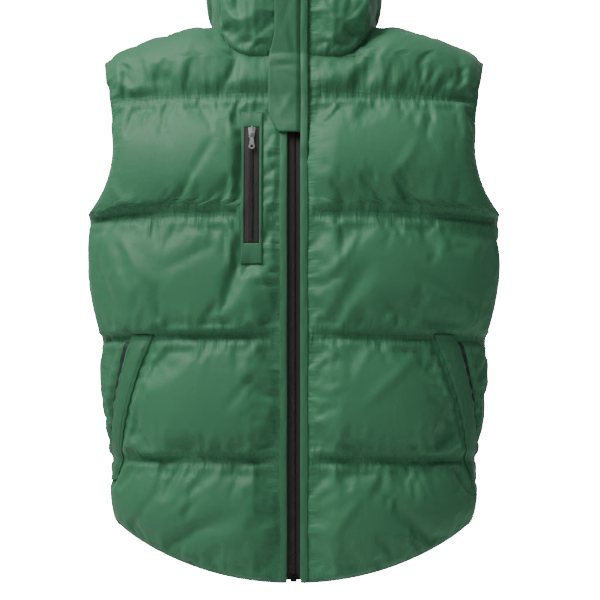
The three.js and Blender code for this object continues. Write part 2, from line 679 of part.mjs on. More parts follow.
// The hand pocket's welt, slanted from the waist line down to the side.
function weltGeometry(side) {
  const levels = heights(WELT.bottomZ, WELT.topZ, 12).map((z) => levelOfHeight(200, z));
  const xs = (level) => {
    const z = levelHeight(200, level);
    const square = readTable(TRUNK, z, "square");
    const toX = (angle) => readTable(TRUNK, z, "halfWidth") * Math.pow(Math.sin(angle * DEGREES), 2 / square);
    const angles = [-1, -0.5, 0, 0.5, 1].map((share) => weltAngle(z) + WELT.halfAngle * share);
    const across = angles.map((angle) => side * toX(Math.min(angle, 84)));
    return side > 0 ? across : across.reverse();
  };
  return geometryOf(panelStrip(xs, levels, WELT.lift, WELT.lift + WELT.thick));
}

// How deep a panel's inner side lies at a place, and the deepest under the facing's width near a level.
const backMesh = new THREE.Mesh(backGeometry());
function insideDepth(face, x, level) {
  const normal = bodyNormal(face, x, level);
  const from = bodyPoint(face, x, level).addScaledVector(normal, -40);
  ray.set(from, normal);
  const panel = face === "back" ? backMesh : frontMeshes[x < 0 ? "right" : "left"];
  const hit = ray.intersectObject(panel)[0];
  return hit ? 40 - hit.distance : SHEET;
}

function deepestInside(face, side, level) {
  return Math.max(...[-0.04, 0, 0.04].flatMap((step) => {
    const near = clamp(level + step, 3.01, 4.95);
    return [0, 0.5, 1].map((share) => (
      insideDepth(face, side * (reach(near) - 1.5 - FACING.width * share), near)
    ));
  }));
}

// The armhole's facing: a narrow closed band just inside the edge, all the way round.
function facingGeometry(side) {
  const spots = [3.02, 3.05, 3.1, 3.17, 3.25, 3.35, 3.5, 3.65, 3.8, 4, 4.2, 4.42, 4.66, 4.88];
  const path = [...spots.map((level) => ({ face: "front", level })), { face: "front", level: 5 },
    ...spots.slice().reverse().map((level) => ({ face: "back", level }))];
  const rings = path.map(({ face, level }) => {
    const edge = reach(level) - 1;
    const near = Math.min(deepestInside(face, side, level) + (level > 4 ? 2.2 : 1), FACING.deepest);
    const [far, inward] = [near + FACING.thick, edge - FACING.width];
    return [[edge, near], [edge, far], [inward, far], [inward, near]]
      .map(([x, depth]) => {
        const normal = bodyNormal(face, side * x, level);
        if (level === 5) normal.setY(0).normalize();
        return bodyPoint(face, side * x, level).addScaledVector(normal, -depth);
      });
  });
  const corners = [];
  rings.forEach((ring, i) => {
    const next = rings[(i + 1) % rings.length];
    for (let k = 0; k < 4; k += 1) {
      const [a, b, c, d] = [ring[k], ring[(k + 1) % 4], next[(k + 1) % 4], next[k]];
      corners.push(...(side > 0 ? [a, b, c, a, c, d] : [a, c, b, a, d, c]));
    }
  });
  return geometryOf(corners);
}

const wasm = await Module();
wasm.setup();

function solidOf(geometry) {
  const bare = geometry.clone();
  bare.deleteAttribute("normal");
  bare.deleteAttribute("uv");
  const merged = mergeVertices(bare, 1e-4);
  return new wasm.Manifold(new wasm.Mesh({
    numProp: 3,
    vertProperties: merged.attributes.position.array,
    triVerts: new Uint32Array(merged.index.array),
  }));
}

function geometryOfSolid(solid) {
  const mesh = solid.getMesh();
  const geometry = new THREE.BufferGeometry();
  geometry.setAttribute("position", new THREE.BufferAttribute(mesh.vertProperties, 3));
  geometry.setIndex(new THREE.BufferAttribute(mesh.triVerts, 1));
  return geometry;
}

const boxAt = (width, depth, height, x, y, z) => new THREE.BoxGeometry(width, depth, height).translate(x, y, z);
function joined(...geometries) {
  return geometryOfSolid(geometries.map(solidOf).reduce((sum, solid) => sum.add(solid)));
}

// A zip slider: the zip's face is y = 0, outwards is -y, and its bridge stands over the pull's bar.
function sliderGeometry() {
  const [half, end] = [SLIDER.width / 2, SLIDER.height / 2];
  const outline = new THREE.Shape([
    new THREE.Vector2(half, end), new THREE.Vector2(-half, end),
    new THREE.Vector2(-half + 1.4, -end), new THREE.Vector2(half - 1.4, -end),
  ]);
  const plate = new THREE.ExtrudeGeometry(outline, { depth: 1.6, bevelEnabled: false }).rotateX(Math.PI / 2);
  const foot = boxAt(2, 3.6, 1.4, 0, -3.2, -3.4);
  const head = boxAt(2, 3.6, 1.4, 0, -3.2, 5.1);
  const bridge = boxAt(2, 1, 9.9, 0, -5.2, 0.85);
  return joined(plate, foot, head, bridge);
}

// The pull, about its own hinge: a bar through the bridge, two arms past it and a tab with an eye.
function pullGeometry() {
  const bar = new THREE.CylinderGeometry(0.65, 0.65, 2 * PULL.arm, 12).rotateZ(Math.PI / 2);
  const outline = new THREE.Shape();
  outline.moveTo(-PULL.arm, 0.4);
  outline.lineTo(-PULL.arm, PULL.slotEnd + 1);
  outline.lineTo(-PULL.waist, -9.5);
  outline.absarc(0, PULL.end, PULL.tab, Math.PI, 2 * Math.PI, false);
  outline.lineTo(PULL.waist, -9.5);
  outline.lineTo(PULL.arm, PULL.slotEnd + 1);
  outline.lineTo(PULL.arm, 0.4);
  outline.holes.push(new THREE.Path([
    new THREE.Vector2(-PULL.slot, -0.5), new THREE.Vector2(PULL.slot, -0.5),
    new THREE.Vector2(PULL.slot, PULL.slotEnd), new THREE.Vector2(-PULL.slot, PULL.slotEnd),
  ]));
  const eye = new THREE.Path();
  eye.absarc(0, PULL.end, 1.8, 0, 2 * Math.PI, true);
  outline.holes.push(eye);
  const plate = new THREE.ExtrudeGeometry(outline, { depth: PULL.thick, bevelEnabled: false, curveSegments: 8 });
  return joined(plate.rotateX(Math.PI / 2).translate(0, PULL.thick / 2, 0), bar);
}

// Where a slider sits: a point on the zip's face and the slope of the cloth there.
function onZip(geometry, point, slope) {
  return geometry.rotateX(slope).translate(point.x, point.y, point.z);
}
const collarTop = centrePoint(0, { share: SLIDER.share }).base.add(new THREE.Vector3(0, 2.7, 0));
const collarSlope = Math.atan2(-COLLAR_FLARE.front, COLLAR_HEIGHT);
const chestNormal = bodyNormal("front", CHEST.x, chestLevel(CHEST_SLIDER_Z));
const chestSlope = Math.atan2(chestNormal.z, -chestNormal.y);
const chestSeat = standingAround(CHEST.x, chestLevel(CHEST_SLIDER_Z), 4, 0.04) + 2.1;
const chestZip = bodyPoint("front", CHEST.x, chestLevel(CHEST_SLIDER_Z)).addScaledVector(chestNormal, chestSeat);
const pullOnSlider = () => pullGeometry().translate(0, PULL.y, PULL.z);

function bottomStopGeometry() {
  const { width, height, top, back, front } = BOTTOM_STOP;
  const face = bodyPoint("front", 0, levelOfHeight(0, top - height / 2)).y;
  return boxAt(width, front - back, height, 0, face - (front + back) / 2, top - height / 2);
}

const CLOTH = { color: 0x3f7a57, roughness: 0.5, metalness: 0 };
const LINING = { color: 0x35322f, roughness: 0.7, metalness: 0 };
const STEEL = { color: 0xb9bcbe, roughness: 0.25, metalness: 1 };

function piece(name, geometry, look) {
  const mesh = new THREE.Mesh(geometry, new THREE.MeshStandardMaterial(look));
  mesh.name = name;
  return mesh;
}

const vest = new THREE.Group();
vest.name = "puffer_vest";
vest.add(piece("front_right", frontMeshes.right.geometry, CLOTH));
vest.add(piece("front_left", frontMeshes.left.geometry, CLOTH));
vest.add(piece("back", backMesh.geometry, CLOTH));
vest.add(piece("collar", collarGeometry(), CLOTH));
for (const [side, name] of [[-1, "right"], [1, "left"]]) {
  vest.add(piece(`placket_${name}`, placketGeometry(side), CLOTH));
  vest.add(piece(`main_zip_tape_${name}`, tapeGeometry(side), LINING));
  vest.add(piece(`hand_pocket_welt_${name}`, weltGeometry(side), CLOTH));
  vest.add(piece(`armhole_facing_${name}`, facingGeometry(side), LINING));
}
vest.add(piece("main_zip_teeth", teethGeometry(), LINING));
vest.add(piece("storm_flap", flapGeometry(), CLOTH));
vest.add(piece("chest_pocket_frame", chestFrameGeometry(), CLOTH));
vest.add(piece("chest_zip_tape", chestTapeGeometry(), LINING));
vest.add(piece("chest_zip_teeth", chestTeethGeometry(), LINING));
vest.add(piece("main_zip_bottom_stop", bottomStopGeometry(), STEEL));
vest.add(piece("main_zip_slider", onZip(sliderGeometry(), collarTop, collarSlope), STEEL));
vest.add(piece("main_zip_pull", onZip(pullOnSlider(), collarTop, collarSlope), STEEL));
vest.add(piece("chest_zip_slider", onZip(sliderGeometry(), chestZip, -chestSlope), STEEL));
vest.add(piece("chest_zip_pull", onZip(pullOnSlider(), chestZip, -chestSlope), STEEL));

export default vest;
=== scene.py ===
"""Looks of a quilted padded vest with a stand collar, filled out as if worn.

All surfaces are worked out in millimetres on the garment's own sizes and written in metres at the end.
"""
import math

import bpy
import numpy as np
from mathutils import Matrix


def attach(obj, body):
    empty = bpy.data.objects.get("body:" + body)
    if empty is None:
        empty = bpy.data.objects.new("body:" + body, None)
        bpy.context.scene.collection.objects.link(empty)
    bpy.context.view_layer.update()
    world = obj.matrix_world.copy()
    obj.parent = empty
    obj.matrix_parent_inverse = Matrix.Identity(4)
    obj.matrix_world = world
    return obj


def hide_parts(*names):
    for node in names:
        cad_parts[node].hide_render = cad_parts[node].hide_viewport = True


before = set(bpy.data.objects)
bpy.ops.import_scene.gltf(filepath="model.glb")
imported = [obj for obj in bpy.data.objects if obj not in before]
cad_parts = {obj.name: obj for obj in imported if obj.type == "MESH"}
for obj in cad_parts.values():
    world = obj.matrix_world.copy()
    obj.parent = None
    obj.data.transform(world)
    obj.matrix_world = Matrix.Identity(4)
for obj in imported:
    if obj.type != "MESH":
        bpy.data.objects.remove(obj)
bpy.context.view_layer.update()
rng = np.random.default_rng(7)

MM = 0.001

# The body that the padding stands on: the same sizes as the solids.
SEAM_GAP = 0.3  # each panel stays this far from the seam's middle
SHEET = 3.0  # the wall's thickness at a stitched line
YOKE_LINE = -102.0
LINE_PITCH = 147.0
LINES = [YOKE_LINE - n * LINE_PITCH for n in (3, 2, 1, 0)]
HEM_CENTRE = -687.0
HEM_RISE = 66.0
HEM_HALF_WIDTH = 217.0
HEM_POWER = 2.1
STITCH_HALF_PITCH = 3.0  # the two rows of a stitched line lie this far from its middle

# z, half width, front depth, back depth, squareness
TRUNK = np.array([
    (-700, 210, 100, 102, 2.30),
    (-620, 215, 104, 106, 2.30),
    (LINES[0], 225, 108, 108, 2.30),
    (LINES[1], 239, 111, 111, 2.30),
    (LINES[2], 256, 112, 112, 2.25),
    (-175, 257, 106, 110, 2.30),
    (YOKE_LINE, 259, 90, 100, 2.35),
    (0, 259, 88, 98, 2.35),
], dtype=float)
# z, how far out the cloth reaches at the armhole's edge
ARMHOLE = np.array([
    (-238, 256), (-231, 246.5), (-216, 234), (-200, 226), (-180, 220.5),
    (-160, 219.5), (-135, 223), (YOKE_LINE, 227), (-70, 231.5), (-42, 239),
], dtype=float)
UNDERARM_Z = ARMHOLE[0, 0]
SHOULDER_TIP = 239.0  # how far out the shoulder seam goes
NECK_HALF_WIDTH = 101.0
SHOULDER_AT_CENTRE = 34.5
SHOULDER_SLOPE = 0.33
SHOULDER_ROUND = 35.0  # how widely the shoulder lines are rounded at the centre
ARCH_SQUARE = {"front": 2.0, "back": 3.0}
NECK_DROP_Z = {"front": -51.0, "back": 12.0}
NECK_CORNER = {"front": 5.0, "back": 3.0}
PUFF = 15.0  # height of the padding in the middle of a channel
PUFF_YOKE = 12.0
ZIP_HALF_GAP = 9.0  # each front's edge stays this far from the zip's middle
EDGE_STITCH = 17.0  # the padding starts this far from the zip's middle
EDGE_ROUNDING = 38.0
SIDE_ROUNDING = 16.0
ARMHOLE_ROUNDING = 26.0
PINNED_BELOW = 0.35  # padding lower than this is held by stitches
CREASES_FADE_BELOW = 9.0  # creases fade where the padding is lower than this
COLLAR_FRONT_DEPTH = 78.0
COLLAR_PUFF = 11.0
COLLAR_INNER_PUFF = 4.0
COLLAR_HEIGHT = 85.0
COLLAR_LIFT = 2.6
COLLAR_FLARE = {"side": 1.03, "front": -6.0, "back": 2.0}
PLACKET = {"inner": 8.5, "outer": 16.6, "thick": 1.6}
FLAP = {"free": -30.0, "sewn": 15.4, "foot": -150.0, "corner_top": -125.0, "corner_in": 12.0, "thick": 3.4,
        "over_zip": 3.5}
CHEST = {"x": -50.0, "top": -125.5, "bottom": -310.0, "zip_top": -145.0, "zip_bottom": -285.5,
         "half_width": 12.6, "window": 9.0}
CHEST_FLAT = 4.0  # height of the padding under the chest pocket
WELT = {"top_z": -393.0, "bottom_z": -566.0, "top_angle": 47.0, "bottom_angle": 74.0, "half_angle": 5.0,
        "thick": 2.6, "lift": 0.4}
BAND = STITCH_HALF_PITCH / LINE_PITCH  # the same half pitch as a share of a channel

# Grids, and how the cloth is blown up: how much too large it is, and for how many frames.
ROWS_PER_CHANNEL = 20
ROWS_ABOVE = 22
FRONT_COLUMNS = 48
BACK_HALF_COLUMNS = 46
COLLAR_STATIONS = 124
COLLAR_ROWS = 19
PANEL_SLACK = 0.045
PANEL_FRAMES = 22
COLLAR_SLACK = 0.05
COLLAR_FRAMES = 20
RING_STEPS = 30  # steps along each side of the chest pocket's frame
CHEST_CLEAR = 15.0  # the quilt line stops this far from the chest pocket's middle
UP_TO_COLLAR = 20.0  # the coil ends this far under the collar's top
FACING_SETBACK = 0.8  # from the armhole's edge to the facing
FACING_WIDTH = 7.0
LINING_GAP = 3.2  # from the stitched-down surface in to the facing
SIDES = ((-1, "right"), (1, "left"))

# The cloth's larger folds: side, face, x, z, lean in degrees, length, width, height.
FOLDS = [
    (-1, "front", 78, -78, 20, 60, 9, -5), (-1, "front", 72, -325, 12, 60, 8, -4),
    (-1, "front", 205, -310, -25, 110, 12, 5), (-1, "front", 172, -345, -20, 90, 10, 4),
    (1, "front", 88, -78, -35, 70, 10, -5), (1, "front", 62, -350, -35, 90, 11, -4),
    (1, "front", 150, -372, 75, 110, 14, -6), (1, "front", 215, -270, 88, 70, 12, -5),
    (1, "front", 150, -628, 60, 90, 12, -4), (-1, "front", 105, -622, 70, 80, 12, -4),
    (-1, "back", 120, -190, 25, 100, 14, -5), (1, "back", 120, -195, 25, 100, 14, -5),
    (-1, "back", 150, -350, -30, 110, 13, 4), (1, "back", 155, -340, -30, 110, 13, 4),
]
# Creases finer than the solids carry, in the same columns.
CREASES = [
    (-1, "front", 72, -92, 8, 46, 4.5, -3.2), (-1, "front", 66, -110, 14, 34, 3.5, -2.6),
    (-1, "front", 58, -322, 24, 56, 4.5, -3.0), (-1, "front", 36, -330, -22, 60, 4.5, 2.4),
    (-1, "front", 200, -232, -34, 60, 6, 2.4), (-1, "front", 186, -300, -38, 80, 5.5, 2.8),
    (-1, "front", 218, -330, -20, 70, 5, -2.6), (-1, "front", 120, -300, 62, 70, 7, -2.0),
    (-1, "front", 95, -400, -58, 60, 6, -2.0), (-1, "front", 150, -430, 48, 70, 6, 1.8),
    (-1, "front", 60, -460, 40, 54, 5, -2.0), (-1, "front", 120, -590, 52, 60, 5, 2.0),
    (-1, "front", 170, -600, 35, 54, 5, -2.2), (-1, "front", 40, -600, -40, 50, 5, -1.8),
    (-1, "front", 160, -140, -30, 60, 6, -2.0), (-1, "front", 190, -60, -12, 46, 5, -2.0),
    (-1, "front", 130, -60, 18, 50, 6, 2.0), (-1, "front", 110, -185, 30, 56, 5.5, -1.8),
    (1, "front", 72, -88, -30, 50, 5, -3.0), (1, "front", 96, -70, -38, 54, 5, 2.6),
    (1, "front", 60, -300, -36, 70, 5.5, 2.6), (1, "front", 40, -388, -60, 44, 4.5, -2.2),
    (1, "front", 46, -420, 58, 46, 4.5, -2.0), (1, "front", 120, -262, 70, 80, 7, -2.2),
    (1, "front", 180, -340, 64, 84, 6, -2.6), (1, "front", 226, -255, -70, 46, 5, -2.6),
    (1, "front", 110, -450, -46, 70, 6, 2.0), (1, "front", 170, -480, 40, 60, 5.5, -2.2),
    (1, "front", 130, -606, 46, 60, 5, -2.4), (1, "front", 60, -610, -36, 56, 5, 2.0),
    (1, "front", 196, -560, 20, 50, 5, -2.2), (1, "front", 150, -150, 34, 60, 6, -2.0),
    (1, "front", 200, -70, 14, 44, 5, -2.0), (1, "front", 130, -190, -30, 60, 6, 1.8),
    (-1, "back", 60, -170, 30, 80, 7, -2.6), (1, "back", 66, -180, 34, 80, 7, 2.4),
    (-1, "back", 190, -250, -34, 70, 6, 2.4), (1, "back", 196, -290, -28, 84, 6, -2.6),
    (-1, "back", 90, -330, 46, 80, 6, -2.2), (1, "back", 100, -370, -44, 70, 6, -2.2),
    (-1, "back", 60, -440, -50, 70, 6, 2.0), (1, "back", 50, -470, 44, 60, 6, -2.0),
    (-1, "back", 160, -480, 30, 70, 6, -2.4), (1, "back", 170, -440, -30, 70, 6, 2.2),
    (-1, "back", 120, -600, 50, 60, 5, -2.2), (1, "back", 110, -610, -46, 60, 5, 2.0),
    (-1, "back", 140, -70, 14, 50, 6, -2.2), (1, "back", 150, -66, -16, 50, 6, -2.0),
]


def smooth(t):
    """3t^2 - 2t^3 between 0 and 1."""
    t = np.clip(t, 0.0, 1.0)
    return t * t * (3 - 2 * t)


def read_table(table, z, column):
    """A column at heights z: cubic Hermite pieces whose slopes are those of the neighbouring rows."""
    z = np.clip(np.asarray(z, dtype=float), table[0, 0], table[-1, 0])
    high = np.clip(np.searchsorted(table[:, 0], z, side="left"), 1, len(table) - 1)
    low = high - 1
    before = np.maximum(high - 2, 0)
    after = np.minimum(high + 1, len(table) - 1)
    zs, values = table[:, 0], table[:, column]
    span = zs[high] - zs[low]
    t = (z - zs[low]) / span
    m0 = (values[high] - values[before]) / (zs[high] - zs[before]) * span
    m1 = (values[after] - values[low]) / (zs[after] - zs[low]) * span
    return ((2 * t**3 - 3 * t**2 + 1) * values[low] + (t**3 - 2 * t**2 + t) * m0
            + (3 * t**2 - 2 * t**3) * values[high] + (t**3 - t**2) * m1)


def hem_height(x):
    """The hem: lowest at the zip, z = centre + rise (|x|/half width)^power."""
    return HEM_CENTRE + HEM_RISE * (np.abs(x) / HEM_HALF_WIDTH) ** HEM_POWER


def shoulder_height(x):
    """The shoulder line falls evenly from a rounded centre: centre - slope sqrt(x^2 + round^2)."""
    return SHOULDER_AT_CENTRE - SHOULDER_SLOPE * np.hypot(x, SHOULDER_ROUND)


def level_height(x, level):
    """Height of a level: 0 the hem, 1 to 4 the stitched lines."""
    hem = hem_height(x)
    return np.where(level < 1, hem + (LINES[0] - hem) * level, LINES[0] + (level - 1) * LINE_PITCH)


def level_of_height(x, z):
    """The level at a height, the reverse of level_height."""
    hem = hem_height(x)
    return np.where(z < LINES[0], (z - hem) / (LINES[0] - hem), 1 + (z - LINES[0]) / LINE_PITCH)


def section_depth(face, x, z):
    """Depth of the trunk's superellipse: depth (1 - (|x|/half width)^n)^(1/n)."""
    square = read_table(TRUNK, z, 4)
    share = np.clip(np.abs(x) / read_table(TRUNK, z, 1), 0, 1)
    return read_table(TRUNK, z, 2 if face == "front" else 3) * (1 - share**square) ** (1 / square)


def body_point(face, x, level):
    """A point of the stitched-down surface; above level 4 it is an arch with y ~ cos^p and z ~ sin^p."""
    x, level = np.broadcast_arrays(np.asarray(x, float), np.asarray(level, float))
    sign = -1.0 if face == "front" else 1.0
    low = np.minimum(level, 4.0)
    z_low = level_height(x, low)
    y_low = section_depth(face, x, z_low)
    turn = np.radians((np.maximum(level, 4.0) - 4.0) * 90.0)
    power = 2.0 / ARCH_SQUARE[face]
    y_arch = section_depth(face, x, np.full_like(x, YOKE_LINE)) * np.maximum(0.0, np.cos(turn)) ** power
    z_arch = YOKE_LINE + (shoulder_height(x) - YOKE_LINE) * np.sin(turn) ** power
    upper = level > 4.0
    y = sign * (SEAM_GAP + np.where(upper, y_arch, y_low))
    return np.stack([x, y, np.where(upper, z_arch, z_low)], axis=-1)


def body_normal(face, x, level):
    """Outward normal: the cross product of the two steps along the surface."""
    x, level = np.broadcast_arrays(np.asarray(x, float), np.asarray(level, float))
    across = body_point(face, x + 1.5, level) - body_point(face, x - 1.5, level)
    above, below = np.minimum(5.0, level + 0.012), np.maximum(0.0, level - 0.012)
    up = body_point(face, x, above) - body_point(face, x, below)
    normal = np.cross(across, up) * (1.0 if face == "front" else -1.0)
    return normal / np.maximum(1e-9, np.linalg.norm(normal, axis=-1, keepdims=True))


def reach(level):
    """How far out the cloth goes at a level: the armhole's edge, or the side seam below it."""
    level = np.asarray(level, float)
    turn = np.radians((np.maximum(level, 4) - 4) * 90)
    arch = YOKE_LINE + (shoulder_height(SHOULDER_TIP) - YOKE_LINE) * np.sin(turn)
    z = np.where(level <= 4, level_height(230.0, np.minimum(level, 4)), arch)
    return np.where(z > UNDERARM_Z, read_table(ARMHOLE, z, 1), read_table(TRUNK, z, 1))


def neck_start(face):
    """Turn of the arch at which the neck curve starts at the centre."""
    rise = (NECK_DROP_Z[face] - YOKE_LINE) / (shoulder_height(0.0) - YOKE_LINE)
    return math.asin(rise ** (ARCH_SQUARE[face] / 2))


def neck_level(face, share):
    """Level of the neck curve at a share of its way up to the shoulder."""
    start = math.sin(neck_start(face))
    return 4 + np.arcsin(np.clip(start + (1 - start) * np.asarray(share, float), 0, 1)) / math.radians(90)


def neck_x(face, share):
    """Half width of the neck curve there."""
    return NECK_HALF_WIDTH * np.asarray(share, float) ** (1 / NECK_CORNER[face])


def neck_at(face, level):
    """Half width of the neck at a level, 0 below the neck."""
    start = math.sin(neck_start(face))
    share = (np.sin(np.radians((np.maximum(level, 4) - 4) * 90)) - start) / (1 - start)
    return np.where(share > 1e-9, neck_x(face, np.clip(share, 1e-12, 1)), 0.0)


def channel_shape(level):
    """Padding between two stitched lines: sin(pi s^0.8)^0.56, so it hangs a little below the middle."""
    share = np.clip((level - np.floor(level) - BAND) / (1 - 2 * BAND), 0, 1)
    return np.sin(np.pi * share**0.8) ** 0.56


def edge_shape(distance, rounding):
    """Padding beside an edge: a quarter sine."""
    return np.sin(np.pi / 2 * np.clip(distance / rounding, 0, 1)) ** 1.1


def fold_height(table, face, x, z):
    """Sum of the table's folds, each height exp(-(across/width)^2 - (2 along/length)^4)."""
    total = np.zeros_like(x)
    side = np.where(x < 0, -1, 1)
    for fold_side, fold_face, fx, fz, lean, length, width, height in table:
        if fold_face != face:
            continue
        dx, dz, turn = np.abs(x) - fx, z - fz, math.radians(lean)
        along = dz * math.cos(turn) - dx * math.sin(turn)
        across = dx * math.cos(turn) + dz * math.sin(turn)
        shape = height * np.exp(-(across / width) ** 2 - (2 * along / length) ** 4)
        total += np.where(side == fold_side, shape, 0)
    return total


def welt_angle(z):
    """Angle round the section at which the hand pocket's welt lies."""
    share = (z - WELT["bottom_z"]) / (WELT["top_z"] - WELT["bottom_z"])
    return WELT["bottom_angle"] + (WELT["top_angle"] - WELT["bottom_angle"]) * share


def section_angle(x, z):
    """Angle round the section at x: asin((|x|/half width)^(n/2))."""
    square = read_table(TRUNK, z, 4)
    return np.degrees(np.arcsin(np.clip(np.abs(x) / read_table(TRUNK, z, 1), 0, 1) ** (square / 2)))


def pocket_shape(face, x, z):
    """Share of the padding left beside the pockets, where the cloth is stitched through."""
    if face != "front":
        return np.ones_like(x), np.ones_like(x)
    beside = smooth((np.abs(x - CHEST["x"]) - CHEST["half_width"] - 2) / 12)
    middle, half = (CHEST["top"] + CHEST["bottom"]) / 2, (CHEST["top"] - CHEST["bottom"]) / 2
    chest = np.maximum(beside, smooth((np.abs(z - middle) - half - 2) / 12))
    inside = smooth((z - WELT["bottom_z"] + 12) / 20) * smooth((WELT["top_z"] + 12 - z) / 20)
    from_welt = np.abs(section_angle(x, z) - welt_angle(z)) - WELT["half_angle"]
    return chest, 1 - 0.5 * inside * (1 - smooth(from_welt / 6))


def neck_gap(face, x, level):
    """Distance from points of the yoke to the neck seam."""
    here = body_point(face, x, level)
    share = np.linspace(0, 1, 60) ** 3
    gap = np.full(here.shape[:-1], 1e9)
    for side in (-1, 1):
        edge = body_point(face, side * np.maximum(neck_x(face, share), 0.1), neck_level(face, share))
        for point in edge:
            gap = np.minimum(gap, np.linalg.norm(here - point, axis=-1))
    return gap


def padding(face, x, level):
    """Height of the padding over the stitched-down surface, without the finer creases."""
    z = body_point(face, x, level)[..., 2]
    size = np.where(level > 4, PUFF_YOKE, PUFF)
    rounding = np.where(level > 2.99, ARMHOLE_ROUNDING, SIDE_ROUNDING)
    edges = edge_shape(reach(level) - np.abs(x) * 0.999 + 2, rounding)
    if face == "front":
        edges = edges * edge_shape(np.abs(x) - EDGE_STITCH, EDGE_ROUNDING)
    edges = edges * edge_shape(np.where(level > 4, neck_gap(face, x, level), 1e9), EDGE_ROUNDING)
    folds = fold_height(FOLDS, face, x, z) * np.minimum(1, channel_shape(level) * 1.5) * edges
    puffed = np.maximum(0, size * channel_shape(level) * edges + folds)
    chest, welt = pocket_shape(face, x, z)
    flat = CHEST_FLAT * edge_shape(np.abs(x) - EDGE_STITCH, 14.0)
    beside = (face == "front") & (np.abs(x - CHEST["x"]) < 40)
    return np.where(beside, flat + (puffed - flat) * chest, puffed * welt)


def level_rows(face, rows_per_channel, rows_above):
    """Levels of a panel's rows at its outer edge and at its inner one. There is a row on each row of
    stitches. Above the neck's start the inner levels follow the neck curve, at even steps across,
    and the outer ones go up evenly."""
    levels = [0.0]
    for channel in range(4):
        low = channel + (BAND if channel else 0.0)
        levels += list(np.linspace(low, channel + 1 - BAND, rows_per_channel))[0 if channel else 1:]
        levels.append(channel + 1.0)
    start = float(neck_level(face, 0))
    levels += list(np.linspace(4 + BAND, start, max(3, int(rows_above * (start - 4)))))
    t = np.linspace(0, 1, rows_above)[1:]
    return (np.array(levels + list(start + (5 - start) * t)),
            np.array(levels + list(neck_level(face, t ** NECK_CORNER[face]))))


def even_x(face, level, start, end, count):
    """x of count + 1 columns at even steps along the cloth, one row for each level."""
    limit = read_table(TRUNK, body_point(face, end, level)[..., 2], 1) * 1.00001
    angle = lambda x: np.sign(x) * np.arcsin(np.clip(np.abs(x) / limit, 0, 1) ** 1.15)
    t = np.linspace(0, 1, 200)[None, :]
    a0, a1 = angle(start)[:, None], angle(end)[:, None]
    a = a0 + (a1 - a0) * t
    x = np.sign(a) * limit[:, None] * np.abs(np.sin(a)) ** (1 / 1.15)
    x[:, 0], x[:, -1] = start, end
    p = body_point(face, x, level[:, None])
    steps = np.cumsum(np.linalg.norm(np.diff(p, axis=1), axis=2), axis=1)
    run = np.concatenate([np.zeros((len(level), 1)), steps], axis=1)
    out = np.empty((len(level), count + 1))
    for row in range(len(level)):
        out[row] = np.interp(np.linspace(0, run[row, -1], count + 1), run[row], x[row])
    return out


def panel_places(face, side, rows, count):
    """x and level of a half panel's points, from its centre edge to the side. Each row's level goes
    from the inner one to the outer one as 3t^2 - 2t^3."""
    outer, inner = rows
    neck = neck_at(face, inner)
    start = np.maximum(neck, ZIP_HALF_GAP) if face == "front" else neck
    x = even_x(face, outer, start, reach(outer), count)
    t = (x - start[:, None]) / (x[:, -1:] - start[:, None])
    level = inner[:, None] + (outer - inner)[:, None] * smooth(t)
    return (x, level) if side > 0 else (-x[:, ::-1], level[:, ::-1])


# Meshes.

def mesh_piece(name, points, faces, materials, slots=None, uv=None):
    """A mesh object at the origin, from points in millimetres and faces of one size."""
    mesh = bpy.data.meshes.new(name)
    faces = np.asarray(faces, dtype=np.int32)
    count, corners = faces.shape
    mesh.vertices.add(len(points))
    mesh.vertices.foreach_set("co", (np.asarray(points, float) * MM).astype(np.float32).ravel())
    mesh.loops.add(count * corners)
    mesh.loops.foreach_set("vertex_index", faces.ravel())
    mesh.polygons.add(count)
    mesh.polygons.foreach_set("loop_start", np.arange(count, dtype=np.int32) * corners)
    if slots is not None:
        mesh.polygons.foreach_set("material_index", np.asarray(slots, dtype=np.int32))
    mesh.polygons.foreach_set("use_smooth", np.ones(count, dtype=bool))
    for material in materials:
        mesh.materials.append(material)
    mesh.update(calc_edges=True)
    if uv is not None:
        layer = mesh.uv_layers.new(name="cloth")
        layer.data.foreach_set("uv", (np.asarray(uv, float)[faces.ravel()] * MM).astype(np.float32).ravel())
    mesh.validate()
    obj = bpy.data.objects.new(name, mesh)
    bpy.context.scene.collection.objects.link(obj)
    return obj


def grid_index(rows, columns, split=None):
    """Point numbers of a grid. With split = (middle, row), the columns middle and middle + 1 are one
    up to that row."""
    index = np.arange(rows * columns).reshape(rows, columns)
    if split:
        index[:split[1] + 1, split[0] + 1] = index[:split[1] + 1, split[0]]
    return index


def grid_faces(index, split=None, flip=False):
    """Quads of a grid, without the strip between a split's two columns."""
    quads = np.stack([index[:-1, :-1], index[:-1, 1:], index[1:, 1:], index[1:, :-1]], axis=-1)
    if split:
        quads = np.delete(quads, split[0], axis=1)
    quads = quads.reshape(-1, 4)
    return quads[:, ::-1] if flip else quads


def ring_faces(rings, points):
    """Quads of a tube that is closed both ways: each ring has the same number of points."""
    index = np.arange(rings * points).reshape(rings, points)
    after = np.roll(index, -1, axis=0)
    quads = np.stack([index, np.roll(index, -1, axis=1), np.roll(after, -1, axis=1), after], axis=-1)
    return quads.reshape(-1, 4)


def border(index, split=None):
    """Point numbers round a grid's edge, as a closed loop, in and out of a split."""
    top = index[-1, ::-1]
    if split:
        middle, row = split
        right_half, left_half = index[-1, :middle:-1], index[-1, middle::-1]
        top = np.concatenate([right_half, index[-2:row:-1, middle + 1], index[row:-1, middle], left_half])
    loop = np.concatenate([index[0], index[1:-1, -1], top, index[-2:0:-1, 0]])
    return loop[np.concatenate([[True], loop[1:] != loop[:-1]])]


